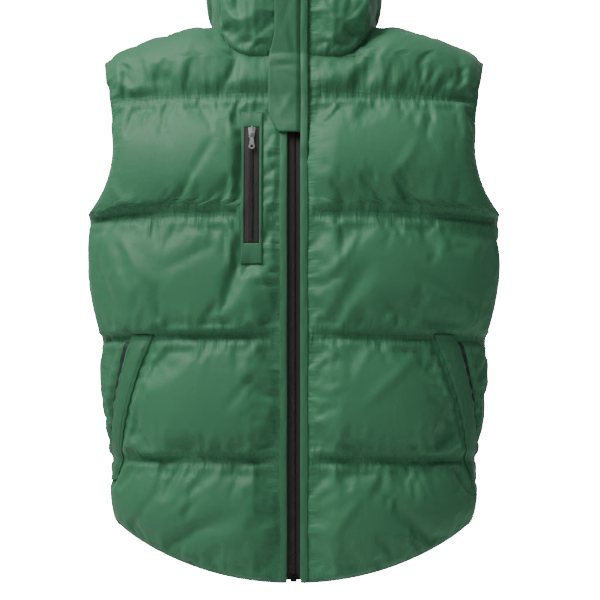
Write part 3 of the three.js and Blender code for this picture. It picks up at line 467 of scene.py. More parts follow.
def wall(name, outer, inner, materials, uv=None, flip=False, rim_steps=1, split=None, gathers=None):
    """A closed wall between two grids of points: slot 0 outside and on the rim, slot 1 inside.
    The rim bulges in a half circle over rim_steps, so the folded edge is round. gathers holds the
    outer grid's weights for the gathers up and across, kept as attributes of the points."""
    rows, columns = outer.shape[:2]
    n = rows * columns
    index = grid_index(rows, columns, split)
    points = [outer.reshape(-1, 3), inner.reshape(-1, 3)]
    faces = [grid_faces(index, split, flip), grid_faces(index + n, split, not flip)]
    loop = border(index, split)
    rings = [loop]
    centre = (points[0] + points[1])[loop] / 2
    half = (points[0] - points[1])[loop] / 2
    before, after = np.roll(centre, 1, axis=0), np.roll(centre, -1, axis=0)
    out = np.cross(after - before, half)
    out = out / np.maximum(1e-9, np.linalg.norm(out, axis=1, keepdims=True)) * (-1 if flip else 1)
    out *= np.linalg.norm(half, axis=1, keepdims=True) * 0.8
    total = 2 * n
    for step in range(1, rim_steps):
        turn = math.pi * step / rim_steps
        points.append(centre + half * math.cos(turn) + out * math.sin(turn))
        rings.append(np.arange(total, total + len(loop)))
        total += len(loop)
    rings.append(loop + n)
    for upper, lower in zip(rings[:-1], rings[1:]):
        quads = np.stack([upper, lower, np.roll(lower, -1), np.roll(upper, -1)], axis=1)
        faces.append(quads[:, ::-1] if flip else quads)
    slots = np.concatenate([np.full(len(f), int(i == 1)) for i, f in enumerate(faces)])
    points, faces = np.concatenate(points), np.concatenate(faces)
    if uv is not None:
        uv = uv.reshape(-1, 2)
        uv = np.concatenate([uv, uv] + [uv[loop]] * (len(rings) - 2))
    used, faces = np.unique(faces, return_inverse=True)
    faces = faces.reshape(-1, 4)
    obj = mesh_piece(name, points[used], faces, materials, slots, None if uv is None else uv[used])
    for label, weight in (gathers or {}).items():
        layer = obj.data.attributes.new(f"gather_{label}", "FLOAT", "POINT")
        everywhere = np.concatenate([weight.ravel(), np.zeros(len(points) - n)])
        layer.data.foreach_set("value", everywhere[used].astype(np.float32))
    return obj


def cloth_uv(grid):
    """Flat coordinates of a grid: lengths measured along its rows and up its columns, in millimetres."""
    across = np.linalg.norm(np.diff(grid, axis=1), axis=2)
    up = np.linalg.norm(np.diff(grid, axis=0), axis=2)
    rows, columns = grid.shape[:2]
    middle = columns // 2
    u = np.concatenate([np.zeros((rows, 1)), np.cumsum(across, axis=1)], axis=1)
    u = u - u[:, middle:middle + 1]
    v = np.concatenate([np.zeros((1, columns)), np.cumsum(up, axis=0)], axis=0)
    return np.stack([u, v], axis=-1)


def upsample(field, axis, cubic=True):
    """A field at twice the resolution along an axis: Catmull-Rom interpolation, or else straight."""
    field = np.moveaxis(field, axis, 0)
    n = field.shape[0]
    at = np.arange(2 * n - 1) / 2
    i = np.minimum(at.astype(int), n - 2)
    t = (at - i).reshape((-1,) + (1,) * (field.ndim - 1))
    p0, p1, p2, p3 = (field[np.clip(i + k, 0, n - 1)] for k in (-1, 0, 1, 2))
    if cubic:
        square, cube = 2 * p0 - 5 * p1 + 4 * p2 - p3, 3 * p1 - p0 - 3 * p2 + p3
        out = 0.5 * (2 * p1 + (p2 - p0) * t + square * t**2 + cube * t**3)
    else:
        out = p1 * (1 - t) + p2 * t
    return np.moveaxis(out, 0, axis)


BLOWN_FROM = 0.86  # share of the padding's height at which the cloth starts
PRESSURE = 2.2
CLOTH_SETTINGS = {
    "quality": 6, "mass": 0.12, "vertex_group_mass": "pinned", "pin_stiffness": 1.0,
    "tension_stiffness": 18, "compression_stiffness": 12, "shear_stiffness": 6, "bending_stiffness": 0.35,
    "tension_damping": 8, "compression_damping": 8, "air_damping": 3, "use_pressure": True,
}


def inflate(name, base, height, normal, pinned, slack, frames, split=None):
    """Blows the padding up as cloth. The rows of stitches are pinned, the cloth is a little too large for
    its place, so that it puckers beside them, and the air behind it fills it. Returns the new points."""
    rows, columns = height.shape
    start = base + normal * (height * BLOWN_FROM)[..., None]
    index = grid_index(rows, columns, split)
    obj = mesh_piece(name + "_blown", start.reshape(-1, 3), grid_faces(index, split), [])
    obj.vertex_groups.new(name="pinned").add(np.nonzero(pinned.ravel())[0].tolist(), 1.0, "REPLACE")
    modifier = obj.modifiers.new("cloth", "CLOTH")
    settings = modifier.settings
    for label, value in CLOTH_SETTINGS.items():
        setattr(settings, label, value)
    settings.uniform_pressure_force = PRESSURE
    settings.shrink_min = -slack
    settings.effector_weights.gravity = 0
    modifier.collision_settings.use_collision = False
    modifier.collision_settings.use_self_collision = False
    modifier.point_cache.frame_start = 1
    modifier.point_cache.frame_end = frames
    scene = bpy.context.scene
    for frame_number in range(1, frames + 1):
        scene.frame_set(frame_number)
    shaped = obj.evaluated_get(bpy.context.evaluated_depsgraph_get()).to_mesh()
    points = np.empty(rows * columns * 3, dtype=np.float32)
    shaped.vertices.foreach_get("co", points)
    obj.evaluated_get(bpy.context.evaluated_depsgraph_get()).to_mesh_clear()
    scene.frame_set(1)
    bpy.data.objects.remove(obj, do_unlink=True)
    return (points.reshape(-1, 3)[index.ravel()].reshape(rows, columns, 3).astype(float)) / MM


# Materials. Shared effects are node groups; the shader stays in each material.

def node_group(name, numbers, outputs, build):
    """A shader node group with a vector and named numbers as inputs, built once."""
    group = bpy.data.node_groups.new(name, "ShaderNodeTree")
    socket = group.interface.new_socket
    socket(name="Vector", in_out="INPUT", socket_type="NodeSocketVector")
    for label, value in numbers.items():
        socket(name=label, in_out="INPUT", socket_type="NodeSocketFloat").default_value = value
    for label in outputs:
        socket(name=label, in_out="OUTPUT", socket_type="NodeSocketFloat")
    build(group, group.nodes.new("NodeGroupInput"), group.nodes.new("NodeGroupOutput"))
    return group


def maths(tree, operation, *values):
    """A math node on sockets or numbers."""
    node = tree.nodes.new("ShaderNodeMath")
    node.operation = operation
    for socket, value in zip(node.inputs, values):
        if isinstance(value, (int, float)):
            socket.default_value = value
        else:
            tree.links.new(value, socket)
    return node.outputs[0]


def noise(tree, vector, scale, detail, distortion=0.0, stretch=None, turn=0.0):
    """Noise on a vector, drawn out by a mapping where stretch is given. Returns its value."""
    if stretch:
        mapping = tree.nodes.new("ShaderNodeMapping")
        mapping.inputs["Scale"].default_value = stretch
        mapping.inputs["Rotation"].default_value = (0, 0, turn)
        tree.links.new(vector, mapping.inputs["Vector"])
        vector = mapping.outputs[0]
    node = tree.nodes.new("ShaderNodeTexNoise")
    for label, value in (("Scale", scale), ("Detail", detail), ("Distortion", distortion)):
        node.inputs[label].default_value = value
    tree.links.new(vector, node.inputs["Vector"])
    return node.outputs[0]


def ranged(tree, value, low, high, from_low=0.0, from_high=1.0):
    """A value carried from one range to another."""
    node = tree.nodes.new("ShaderNodeMapRange")
    for label, number in (("From Min", from_low), ("From Max", from_high), ("To Min", low), ("To Max", high)):
        node.inputs[label].default_value = number
    tree.links.new(value, node.inputs["Value"])
    return node.outputs[0]


def bump(tree, height, strength, distance, under=None):
    """A bump on top of another one. Returns its normal."""
    node = tree.nodes.new("ShaderNodeBump")
    node.inputs["Strength"].default_value = strength
    node.inputs["Distance"].default_value = distance
    tree.links.new(height, node.inputs["Height"])
    if under:
        tree.links.new(under, node.inputs["Normal"])
    return node.outputs[0]


def placed_group(tree, group, vector):
    """A node group placed in a material, reading a vector."""
    node = tree.nodes.new("ShaderNodeGroup")
    node.node_tree = group
    tree.links.new(vector, node.inputs["Vector"])
    return node


def build_weave(group, source, result):
    """Plain weave: the greater of two sine ribs, and slow unevenness from noise."""
    links = group.links
    split = group.nodes.new("ShaderNodeSeparateXYZ")
    links.new(source.outputs["Vector"], split.inputs[0])
    rate = maths(group, "MULTIPLY", source.outputs["Threads"], 2 * math.pi)
    warp = maths(group, "ABSOLUTE", maths(group, "SINE", maths(group, "MULTIPLY", split.outputs[0], rate)))
    weft = maths(group, "ABSOLUTE", maths(group, "SINE", maths(group, "MULTIPLY", split.outputs[1], rate)))
    both = maths(group, "MAXIMUM", warp, weft)
    links.new(maths(group, "MULTIPLY", both, 0.5), result.inputs["Height"])
    links.new(noise(group, source.outputs["Vector"], 260.0, 3.0), result.inputs["Unevenness"])


weave_group = node_group("woven_cloth", {"Threads": 700.0}, ["Height", "Unevenness"], build_weave)


def build_crinkle(group, source, result):
    """Small crinkles of a thin tight cloth: ridged noise, stretched along one direction, at two sizes."""
    parts = []
    for scale, stretch, turn, weight in ((34.0, (1.0, 0.42, 1.0), 0.5, 0.7),
                                         (86.0, (0.5, 1.0, 1.0), -0.3, 0.3)):
        cloud = noise(group, source.outputs["Vector"], scale, 2.5, 0.6, stretch, turn)
        ridge = maths(group, "ABSOLUTE", maths(group, "SUBTRACT", cloud, 0.5))
        parts.append(maths(group, "MULTIPLY", ridge, weight))
    group.links.new(maths(group, "ADD", *parts), result.inputs["Height"])


crinkle_group = node_group("crinkles", {}, ["Height"], build_crinkle)


def build_gathers(group, source, result):
    """Fine gathers that run away from stitches: noise drawn out along one direction, where a weight allows.
    Height = weight up x noise drawn out upwards + weight across x noise drawn out sideways."""
    parts = []
    for label, stretch in (("Up", (1.0, 0.16, 1.0)), ("Across", (0.16, 1.0, 1.0))):
        cloud = noise(group, source.outputs["Vector"], 105.0, 2.0, 0.3, stretch)
        parts.append(maths(group, "MULTIPLY", cloud, source.outputs[label]))
    group.links.new(maths(group, "ADD", *parts), result.inputs["Height"])


gathers_group = node_group("gathers", {"Up": 0.0, "Across": 0.0}, ["Height"], build_gathers)


def cloth_material(name, colour, roughness, threads, sheen, crinkle, weave, coordinates="UV", gathered=False):
    """Woven cloth: colour varied a little by the weave and by slow noise, bumps from weave, crinkles and,
    where the cloth is quilted, gathers beside the stitches."""
    material = bpy.data.materials.new(name)
    material.use_nodes = True
    tree = material.node_tree
    shader = tree.nodes["Principled BSDF"]
    shader.inputs["Sheen Weight"].default_value = sheen
    shader.inputs["Sheen Roughness"].default_value = 0.45
    shader.inputs["Sheen Tint"].default_value = (0.62, 0.9, 0.72, 1.0)
    shader.inputs["Specular IOR Level"].default_value = 0.32
    place = tree.nodes.new("ShaderNodeTexCoord")
    vector = place.outputs[coordinates]
    weaving = placed_group(tree, weave_group, vector)
    weaving.inputs["Threads"].default_value = threads
    slow = ranged(tree, noise(tree, place.outputs["Object"], 9.0, 2.0), 0.93, 1.07, 0.3, 0.7)
    thread_tone = ranged(tree, weaving.outputs["Height"], 0.88, 1.04, 0.0, 0.5)
    tint = tree.nodes.new("ShaderNodeVectorMath")
    tint.operation = "SCALE"
    tint.inputs[0].default_value = colour
    tree.links.new(maths(tree, "MULTIPLY", slow, thread_tone), tint.inputs["Scale"])
    tree.links.new(tint.outputs[0], shader.inputs["Base Color"])
    rough = ranged(tree, weaving.outputs["Unevenness"], roughness - 0.05, roughness + 0.06)
    tree.links.new(rough, shader.inputs["Roughness"])
    normal = bump(tree, weaving.outputs["Height"], weave, 0.25 * MM)
    if crinkle:
        crinkles = placed_group(tree, crinkle_group, vector)
        normal = bump(tree, crinkles.outputs["Height"], crinkle, 4 * MM, normal)
    if gathered:
        gathers = placed_group(tree, gathers_group, vector)
        for label in ("Up", "Across"):
            weight = tree.nodes.new("ShaderNodeAttribute")
            weight.attribute_name = f"gather_{label.lower()}"
            tree.links.new(weight.outputs["Fac"], gathers.inputs[label])
        normal = bump(tree, gathers.outputs["Height"], 0.8, 6 * MM, normal)
    tree.links.new(normal, shader.inputs["Normal"])
    return material


def metal_material(name, colour, roughness, metallic=1.0):
    """Plated metal with fine scratches and a little wear in its roughness."""
    material = bpy.data.materials.new(name)
    material.use_nodes = True
    tree = material.node_tree
    shader = tree.nodes["Principled BSDF"]
    shader.inputs["Base Color"].default_value = (*colour, 1.0)
    shader.inputs["Metallic"].default_value = metallic
    place = tree.nodes.new("ShaderNodeTexCoord")
    scratches = noise(tree, place.outputs["Object"], 900.0, 4.0)
    worn = ranged(tree, scratches, roughness * 0.7, roughness * 1.4)
    tree.links.new(worn, shader.inputs["Roughness"])
    return material


NYLON = cloth_material("nylon_green", (0.037, 0.162, 0.077), 0.55, 640.0, 0.2, 0.34, 0.5, gathered=True)
NYLON_DEEP = cloth_material("nylon_green_trim", (0.032, 0.138, 0.066), 0.55, 640.0, 0.2, 0.3, 0.5)
LINING = cloth_material("lining_dark", (0.018, 0.030, 0.024), 0.55, 600.0, 0.15, 0.3, 0.3)
FACING = cloth_material("facing_dark", (0.014, 0.017, 0.016), 0.6, 500.0, 0.1, 0.0, 0.4)
TAPE_CLOTH = cloth_material("zip_tape_dark", (0.030, 0.026, 0.024), 0.75, 330.0, 0.1, 0.0, 0.9)
THREAD = cloth_material("thread_green", (0.045, 0.172, 0.088), 0.55, 1500.0, 0.2, 0.0, 0.5, "Object")
TEETH = metal_material("coil_dark", (0.030, 0.027, 0.026), 0.42, 0.0)
BRIGHT = metal_material("plated_bright", (0.62, 0.63, 0.64), 0.28)
BLACK = metal_material("black_metal", (0.02, 0.02, 0.022), 0.33, 0.9)


def declare(obj, body, nodes):
    """The piece moves with a body and stands for these solids, which it hides."""
    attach(obj, body)
    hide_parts(*nodes)
    return obj


# The padded panels: puffed cloth between pinned rows of stitches, then the finer creases.

def crease(x, z, lean, spread, length, widths, heights, signs=(-1, 1)):
    """A random crease as x, z, lean in degrees, length, width and height. Its lean, width, height and
    sign are drawn in that order."""
    return (x, z, lean + rng.normal(0, spread), length, rng.uniform(*widths),
            rng.uniform(*heights) * rng.choice(signs))


def puckers(side, count_per_line):
    """Random short ridges and troughs that run from the stitched lines and the hem into the padding."""
    rows = []
    for line in LINES:
        for direction in (1, -1):
            for _ in range(count_per_line):
                x = side * rng.uniform(20, 235)
                length = rng.uniform(22, 58)
                z = line + direction * (3 + 0.30 * length)
                rows.append(crease(x, z, 0, 17, length, (2.6, 5.2), (0.9, 2.3), (-1, 1, 1)))
    for _ in range(count_per_line):
        length = rng.uniform(18, 44)
        x = side * rng.uniform(20, 205)
        z = float(hem_height(x)) + 3 + 0.3 * length
        rows.append(crease(x, z, 0, 16, length, (2.6, 4.6), (0.8, 1.8)))
    return rows


def edge_puckers(side, count):
    """Short creases that run sideways from the zip's edge strip."""
    rows = []
    for _ in range(count):
        length = rng.uniform(20, 48)
        z = rng.uniform(-675, -70)
        rows.append(crease(side * (18 + 0.32 * length), z, 90, 20, length, (2.6, 4.6), (0.8, 2.0)))
    return rows


def ridge_field(rows, x, z):
    """Sum of height exp(-(across/width)^2 - (2 along/length)^4) over rows in place coordinates."""
    total = np.zeros_like(x)
    for rx, rz, lean, length, width, height in rows:
        near = (np.abs(x - rx) < length) & (np.abs(z - rz) < length)
        if not near.any():
            continue
        dx, dz, turn = x[near] - rx, z[near] - rz, math.radians(lean)
        along = dz * math.cos(turn) - dx * math.sin(turn)
        across = dx * math.cos(turn) + dz * math.sin(turn)
        total[near] += height * np.exp(-(across / width) ** 2 - (2 * along / length) ** 4)
    return total


def refine(field, split=None, cubic=True):
    """A field at twice the resolution both ways, each half of a split panel on its own."""
    parts = [field[:, :split[0] + 1], field[:, split[0] + 1:]] if split else [field]
    return np.concatenate([upsample(upsample(part, 0, cubic), 1, cubic) for part in parts], axis=1)


def split_move(away, normal, most):
    """A move taken apart: its length along the normal, and the rest, held to a greatest length."""
    out = np.einsum("ijk,ijk->ij", away, normal)
    sideways = away - out[..., None] * normal
    length = np.linalg.norm(sideways, axis=-1, keepdims=True)
    return out, sideways * np.minimum(1.0, most / np.maximum(1e-9, length))


def flatten_seams(face, x, level, normal):
    """Normals along the side seam and the shoulder seam lie in the seam's plane. Returns where they are."""
    z = body_point(face, x, level)[..., 2]
    seam = (reach(level) - np.abs(x) < 0.01) & (z <= UNDERARM_Z)
    seam[-1] = True
    normal[seam] *= (1, 0, 1)
    normal /= np.linalg.norm(normal, axis=-1, keepdims=True)
    return seam


def stitched_through(face, x, z):
    """Where the chest pocket and the hand pocket's welt hold a front down."""
    if face != "front":
        return np.zeros(x.shape, dtype=bool)
    chest = np.abs(x - CHEST["x"]) < CHEST["half_width"] + 3
    chest &= (z < CHEST["top"] + 3) & (z > CHEST["bottom"] - 3)
    welt = np.abs(section_angle(x, z) - welt_angle(z)) < WELT["half_angle"] + 0.5
    welt &= (z > WELT["bottom_z"]) & (z < WELT["top_z"])
    return chest | welt


def gather_weights(face, x, level):
    """Where fine gathers show: up beside the stitched lines, across beside a panel's edges."""
    to_line = np.abs(level - np.round(level)) * LINE_PITCH
    to_edge = reach(level) - np.abs(x)
    if face == "front":
        to_edge = np.minimum(to_edge, np.maximum(0, np.abs(x) - ZIP_HALF_GAP - 4))
    return {"up": np.exp(-(to_line / 17.0) ** 2), "across": np.exp(-(to_edge / 15.0) ** 2)}


def panel_surface(face, sides, columns):
    """A panel's outer and inner points, with the columns and levels that they stand on. The padding is
    blown up on a coarse grid, and the creases are added on one twice as fine."""
    rows = level_rows(face, ROWS_PER_CHANNEL, ROWS_ABOVE)
    halves = [panel_places(face, side, rows, columns) for side in sides]
    x, level = (np.concatenate(parts, axis=1) for parts in zip(*halves))
    split = (columns, len(rows[0]) - ROWS_ABOVE) if len(sides) == 2 else None
    base, normal = body_point(face, x, level), body_normal(face, x, level)
    height = padding(face, x, level)
    seam = flatten_seams(face, x, level, normal)
    height = np.where(seam, 0, height)
    shape = np.minimum(1.0, height / CREASES_FADE_BELOW)
    moved = base + normal * height[..., None]
    pinned = (height < PINNED_BELOW) | stitched_through(face, x, base[..., 2])
    blown = inflate(f"{face}_{sides[0]}", base, height, normal, pinned, PANEL_SLACK, PANEL_FRAMES, split)
    moved = np.where(pinned[..., None], moved, blown)
    out, sideways = split_move(moved - base, normal, 5.0)
    out = np.clip(out, height * 0.25, height * 1.12 + 3.0 * shape)
    x, level = refine(x, split, cubic=False), refine(level, split, cubic=False)
    for side in sides:
        edge = 0 if side < 0 else -1
        x[:, edge] = side * reach(level[:, edge])
    base, normal = body_point(face, x, level), body_normal(face, x, level)
    seam = flatten_seams(face, x, level, normal)
    out, sideways, shape = (refine(field, split) for field in (out, sideways, shape))
    shape = np.clip(shape, 0, 1)
    z = base[..., 2]
    detail = fold_height(CREASES, face, x, z)
    for side in sides:
        detail += ridge_field(puckers(side, 15), x, z)
        if face == "front":
            detail += ridge_field(edge_puckers(side, 34), x, z)
    at_side = 0.4 + 0.6 * smooth((reach(level) - np.abs(x)) / 30)
    out = np.maximum(out + detail * shape * at_side, 0.0)
    out[seam] = 0
    sideways[seam] = 0
    return {"face": face, "x": x, "level": level, "base": base, "gathers": gather_weights(face, x, level),
            "split": (2 * split[0], 2 * split[1]) if split else None,
            "outer": base + normal * out[..., None] + sideways, "inner": base - normal * SHEET}


fronts = {side: panel_surface("front", (side,), FRONT_COLUMNS) for side in (-1, 1)}
back = panel_surface("back", (-1, 1), BACK_HALF_COLUMNS)

for side, word in SIDES:
    panel = fronts[side]
    obj = wall(f"front_panel_{word}", panel["outer"], panel["inner"], [NYLON, LINING],
               cloth_uv(panel["base"]), rim_steps=4, gathers=panel["gathers"])
    declare(obj, "vest", [f"front_{word}"])
obj = wall("back_panel", back["outer"], back["inner"], [NYLON, LINING], cloth_uv(back["base"]), flip=True,
           rim_steps=4, split=back["split"], gathers=back["gathers"])
declare(obj, "vest", ["back"])


# The collar: a padded band on the neck curve.

def neck_curve(count):
    """Even points of the neck curve from the right front edge round the back to the left one."""
    share = np.linspace(0, 1, 400) ** 4
    front = body_point("front", np.maximum(neck_x("front", share), ZIP_HALF_GAP), neck_level("front", share))
    share = np.linspace(1, 0, 400) ** 2.2
    rear = body_point("back", neck_x("back", share), neck_level("back", share))
    half = np.concatenate([front, rear[1:]])
    whole = np.concatenate([half * (-1, 1, 1), half[-2::-1]])
    keep = np.concatenate([[True], np.linalg.norm(np.diff(whole, axis=0), axis=1) > 1e-6])
    whole = whole[keep]
    run = np.concatenate([[0], np.cumsum(np.linalg.norm(np.diff(whole, axis=0), axis=1))])
    edge = EDGE_STITCH - ZIP_HALF_GAP
    middle = np.linspace(edge, run[-1] - edge, count - 4)
    at = np.concatenate([[0, edge / 2], middle, [run[-1] - edge / 2, run[-1]]])
    return np.stack([np.interp(at, run, whole[:, k]) for k in range(3)], axis=1), at


def collar_surface(stations, rows):
    """The band: foot + height share, leaning out at the front, with padding sin(pi share)^0.75 on both
    sides. Returns the run along the seam, the band's middle, its normals and the padding's share."""
    foot, run = neck_curve(stations)
    step = np.gradient(foot, axis=0)
    around = np.stack([step[:, 1] * -1, step[:, 0], np.zeros(len(foot))], axis=1)
    around /= np.linalg.norm(around, axis=1, keepdims=True)
    for _ in range(3):
        around[1:-1] = (around[:-2] + 2 * around[1:-1] + around[2:]) / 4
    around[:3], around[-3:] = (0, -1, 0), (0, -1, 0)
    around /= np.linalg.norm(around, axis=1, keepdims=True)
    share = np.linspace(0, 1, rows)[:, None]
    front = np.clip(-foot[:, 1] / COLLAR_FRONT_DEPTH, 0, 1)
    lean = (COLLAR_FLARE["back"] + (COLLAR_FLARE["front"] - COLLAR_FLARE["back"]) * front) * share
    at_edge = np.abs(foot[:, 0]) < ZIP_HALF_GAP + 0.5
    x = foot[:, 0] * np.where(at_edge, 1.0, 1 + (COLLAR_FLARE["side"] - 1) * share)
    lift = COLLAR_LIFT - 2.2 * (1 - smooth(share / 0.1))
    base = np.stack([x, foot[:, 1] + lean, foot[:, 2] + lift + COLLAR_HEIGHT * share], axis=-1)
    swell = np.sin(np.pi * np.clip(share, 1e-4, 1 - 1e-4)) ** 0.75
    edge = np.where(foot[:, 1] < -60, edge_shape(np.abs(foot[:, 0]) - EDGE_STITCH, EDGE_ROUNDING), 1.0)
    return run, base, np.broadcast_to(around, base.shape), swell * edge


# Creases of the collar: length along the seam from its right end, height share, lean, length, width, height.
COLLAR_CREASES = [
    (40, 0.30, 28, 50, 5, -2.6), (62, 0.55, -20, 56, 6, 2.2), (92, 0.35, 34, 60, 7, -2.6),
    (128, 0.6, 18, 50, 6, 2.0), (160, 0.4, -16, 56, 7, -2.2), (206, 0.5, 12, 60, 7, 2.2),
    (252, 0.4, -14, 58, 7, -2.4), (300, 0.5, 16, 60, 7, 2.0), (350, 0.45, -12, 60, 8, -2.2),
    (396, 0.5, 18, 56, 7, 2.0), (440, 0.4, -24, 60, 6, -2.4), (478, 0.5, -42, 70, 6, 2.8),
    (502, 0.42, -46, 76, 6, -3.0), (528, 0.5, -44, 76, 6, 3.0), (552, 0.4, -40, 66, 5, -2.8),
    (572, 0.55, -34, 56, 5, 2.2),
]


def make_collar():
    """The collar as a closed padded wall; the cloth outside is blown up, the inside is smoother."""
    run, base, around, swell = collar_surface(COLLAR_STATIONS, COLLAR_ROWS)
    height = COLLAR_PUFF * swell
    moved = base + around * height[..., None]
    moved = inflate("collar", base, height, around, height < PINNED_BELOW, COLLAR_SLACK, COLLAR_FRAMES)
    out, sideways = split_move(moved - base, around, 4.0)
    out = np.clip(out, height * 0.3, height * 1.12 + 2.5 * np.minimum(1, height / CREASES_FADE_BELOW))
    base, around, out, sideways, swell = map(refine, (base, around, out, sideways, swell))
    run = upsample(run, 0, cubic=False)
    u = np.broadcast_to(run[None, :], out.shape)
    v = np.broadcast_to(np.linspace(0, COLLAR_HEIGHT, out.shape[0])[:, None], out.shape)
    rows = [(a, b * COLLAR_HEIGHT, lean, length, width, h) for a, b, lean, length, width, h in COLLAR_CREASES]
    for _ in range(46):
        length = rng.uniform(16, 34)
        from_seam = 3 + 0.3 * length
        z = from_seam if rng.random() < 0.6 else COLLAR_HEIGHT - from_seam
        rows.append(crease(rng.uniform(25, run[-1] - 25), z, 0, 18, length, (2.6, 4.4), (0.8, 1.7)))
    out = np.maximum(0, out + ridge_field(rows, u, v) * np.clip(swell, 0, 1) ** 0.5)
    outer = base + around * out[..., None] + sideways
    inner = base - around * (SHEET + COLLAR_INNER_PUFF * np.clip(swell, 0, None))[..., None]
    from_seam, from_end = np.minimum(v, COLLAR_HEIGHT - v), np.minimum(u, run[-1] - u)
    gathers = {"up": np.exp(-(from_seam / 13.0) ** 2), "across": np.exp(-(from_end / 18.0) ** 2)}
    obj = wall("collar_band", outer, inner, [NYLON, NYLON], cloth_uv(base), flip=True, rim_steps=5,
               gathers=gathers)
    declare(obj, "vest", ["collar"])


make_collar()


# The centre front: one strip that runs up both fronts and on up the collar.

def centre_base(x, height):
    """Base and normal at x and at a height in millimetres of z, on the fronts or on the collar above them."""
    neck = float(neck_level("front", 0))
    x, height = np.broadcast_arrays(np.asarray(x, float), np.asarray(height, float))
    seam_z = body_point("front", 0.0, neck)[2]
    turn = np.arcsin(np.clip((height - YOKE_LINE) / (shoulder_height(0.0) - YOKE_LINE), 0, 1))
    level = np.where(height > YOKE_LINE, 4 + turn / math.radians(90), level_of_height(x, height))
    level = np.clip(level, 0, neck)
    base, normal = body_point("front", x, level), body_normal("front", x, level)
    above = np.clip((height - seam_z - COLLAR_LIFT) / COLLAR_HEIGHT, 0, 1)
    on_collar = height > seam_z
    foot = body_point("front", x, neck)
    collar = np.stack([x, foot[..., 1] + COLLAR_FLARE["front"] * above, height], axis=-1)
    blend = smooth((height - seam_z + 4) / 8)[..., None]
    normal = normal * (1 - blend) + np.array([0, -1, 0]) * blend
    normal /= np.linalg.norm(normal, axis=-1, keepdims=True)
    return np.where(on_collar[..., None], collar, base), normal


COLLAR_TOP = NECK_DROP_Z["front"] + COLLAR_LIFT + COLLAR_HEIGHT


def centre_strip(name, x, height, near, far, materials, rim_steps=4):
    """A closed strip of the centre front between two depths, all as grids."""
    base, normal = centre_base(x, height)
    return wall(name, base + normal * far[..., None], base + normal * near[..., None], materials,
                np.stack(np.broadcast_arrays(x, height), axis=-1).astype(float), rim_steps=rim_steps)


def for_side(side, *grids):
    """Grids of one shape, laid out for the left side. For the right one they are turned over, x negated."""
    x, *others = np.broadcast_arrays(*grids)
    return (x, *others) if side > 0 else (-x[:, ::-1], *(grid[:, ::-1] for grid in others))


def raised_over_flap(height):
    """How far the left placket rises where it is sewn over the storm flap."""
    return 3.6 * smooth((height - FLAP["foot"] + 36) / 24)


def even(start, stop, step):
    """Even values from start to stop, about a step apart."""
    return np.linspace(start, stop, max(3, int(round(abs(stop - start) / step)) + 1))


def make_plackets():
    """The stitched edge strips beside the zip: flat bands with a soft crown and small ripples."""
    height = even(float(hem_height(0.0)) + 0.4, COLLAR_TOP - 1.5, 3.0)[:, None]
    across = np.linspace(0, 1, 9)[None, :]
    for side, word in SIDES:
        wave = 0.3 * np.sin(height / 5.3 + side) * np.sin(height / 17.0)
        wave = wave + 0.25 * np.sin(height / 9.1 + 2 * side)
        x = PLACKET["inner"] + (PLACKET["outer"] - PLACKET["inner"]) * across + 0.25 * np.sin(height / 23.0)
        near = 0.35 + (raised_over_flap(height) if side > 0 else 0 * height)
        crown = PLACKET["thick"] * (0.62 + 0.38 * np.sin(np.pi * across) ** 0.5)
        far = near + np.maximum(0.7, crown + (wave + 0.3) * np.sin(np.pi * across))
        obj = centre_strip(f"edge_strip_{word}", *for_side(side, x, height, near, far), [NYLON_DEEP] * 2)
        declare(obj, "vest", [f"placket_{word}"])


# Creases of the storm flap: x, height, lean in degrees, length, width, height.
FLAP_CREASES = [
    (-14, -66, 90, 60, 4, -1.8), (-18, -58, 70, 50, 5, 1.4), (-6, -80, 60, 40, 5, -1.0),
    (-20, -100, 20, 50, 5, -0.9), (-10, -118, -30, 40, 5, 0.9), (-16, -20, 24, 60, 5, 0.9),
    (-8, 5, -20, 46, 5, -0.8), (-22, -136, 40, 30, 4, -0.8), (-12, -142, 80, 36, 4, 0.8),
    (-2, -36, 10, 60, 4, -0.8),
]


def make_flap():
    """The storm flap: padded, sewn under the left strip, bending over the zip and free on its right edge."""
    height = even(FLAP["foot"] + 0.5, COLLAR_TOP - 1.5, 2.4)[:, None]
    across = np.linspace(0, 1, 41)[None, :]
    up = np.clip((height - FLAP["foot"]) / (FLAP["corner_top"] - FLAP["foot"]), 0, 1)
    free = FLAP["free"] + FLAP["corner_in"] * (1 - up) + 7 * smooth((height + 60) / 40)
    x, height = np.broadcast_arrays(free + (FLAP["sewn"] - free) * across, height)
    near = FLAP["over_zip"] + 0.35 * smooth((free + 5 - x) / 5) - 2.75 * smooth((x - 2.0) / 6.5)
    full = FLAP["thick"] * (0.5 + 0.5 * np.sqrt(np.sin(np.pi * np.clip(across * 0.98 + 0.01, 0, 1))))
    full = full * (1 - 0.62 * smooth((x - 6.0) / 6))
    wave = ridge_field(FLAP_CREASES, x, height)
    far = near + np.maximum(1.0, full + wave * np.sin(np.pi * across) ** 0.7)
    obj = centre_strip("storm_flap_padded", x, height, near, far, [NYLON_DEEP] * 2)
    declare(obj, "vest", ["storm_flap"])


# A zip tape's columns, and how far its rib stands up at each.
TAPE_X = np.array([0.3, 2.8, 3.4, 4.2, 5.0, 6.5, 8.0, 11.0, 15.0])
TAPE_RIB = np.array([0.0, 0.0, 0.1, 0.5, 0.15, 0.0, 0.0, 0.0, 0.0])


def under_flap(height):
    """Where the storm flap presses the zip in, from 0 to 1."""
    return smooth((height - YOKE_LINE + 20) / 18) * (1 - smooth((height + 45) / 8))


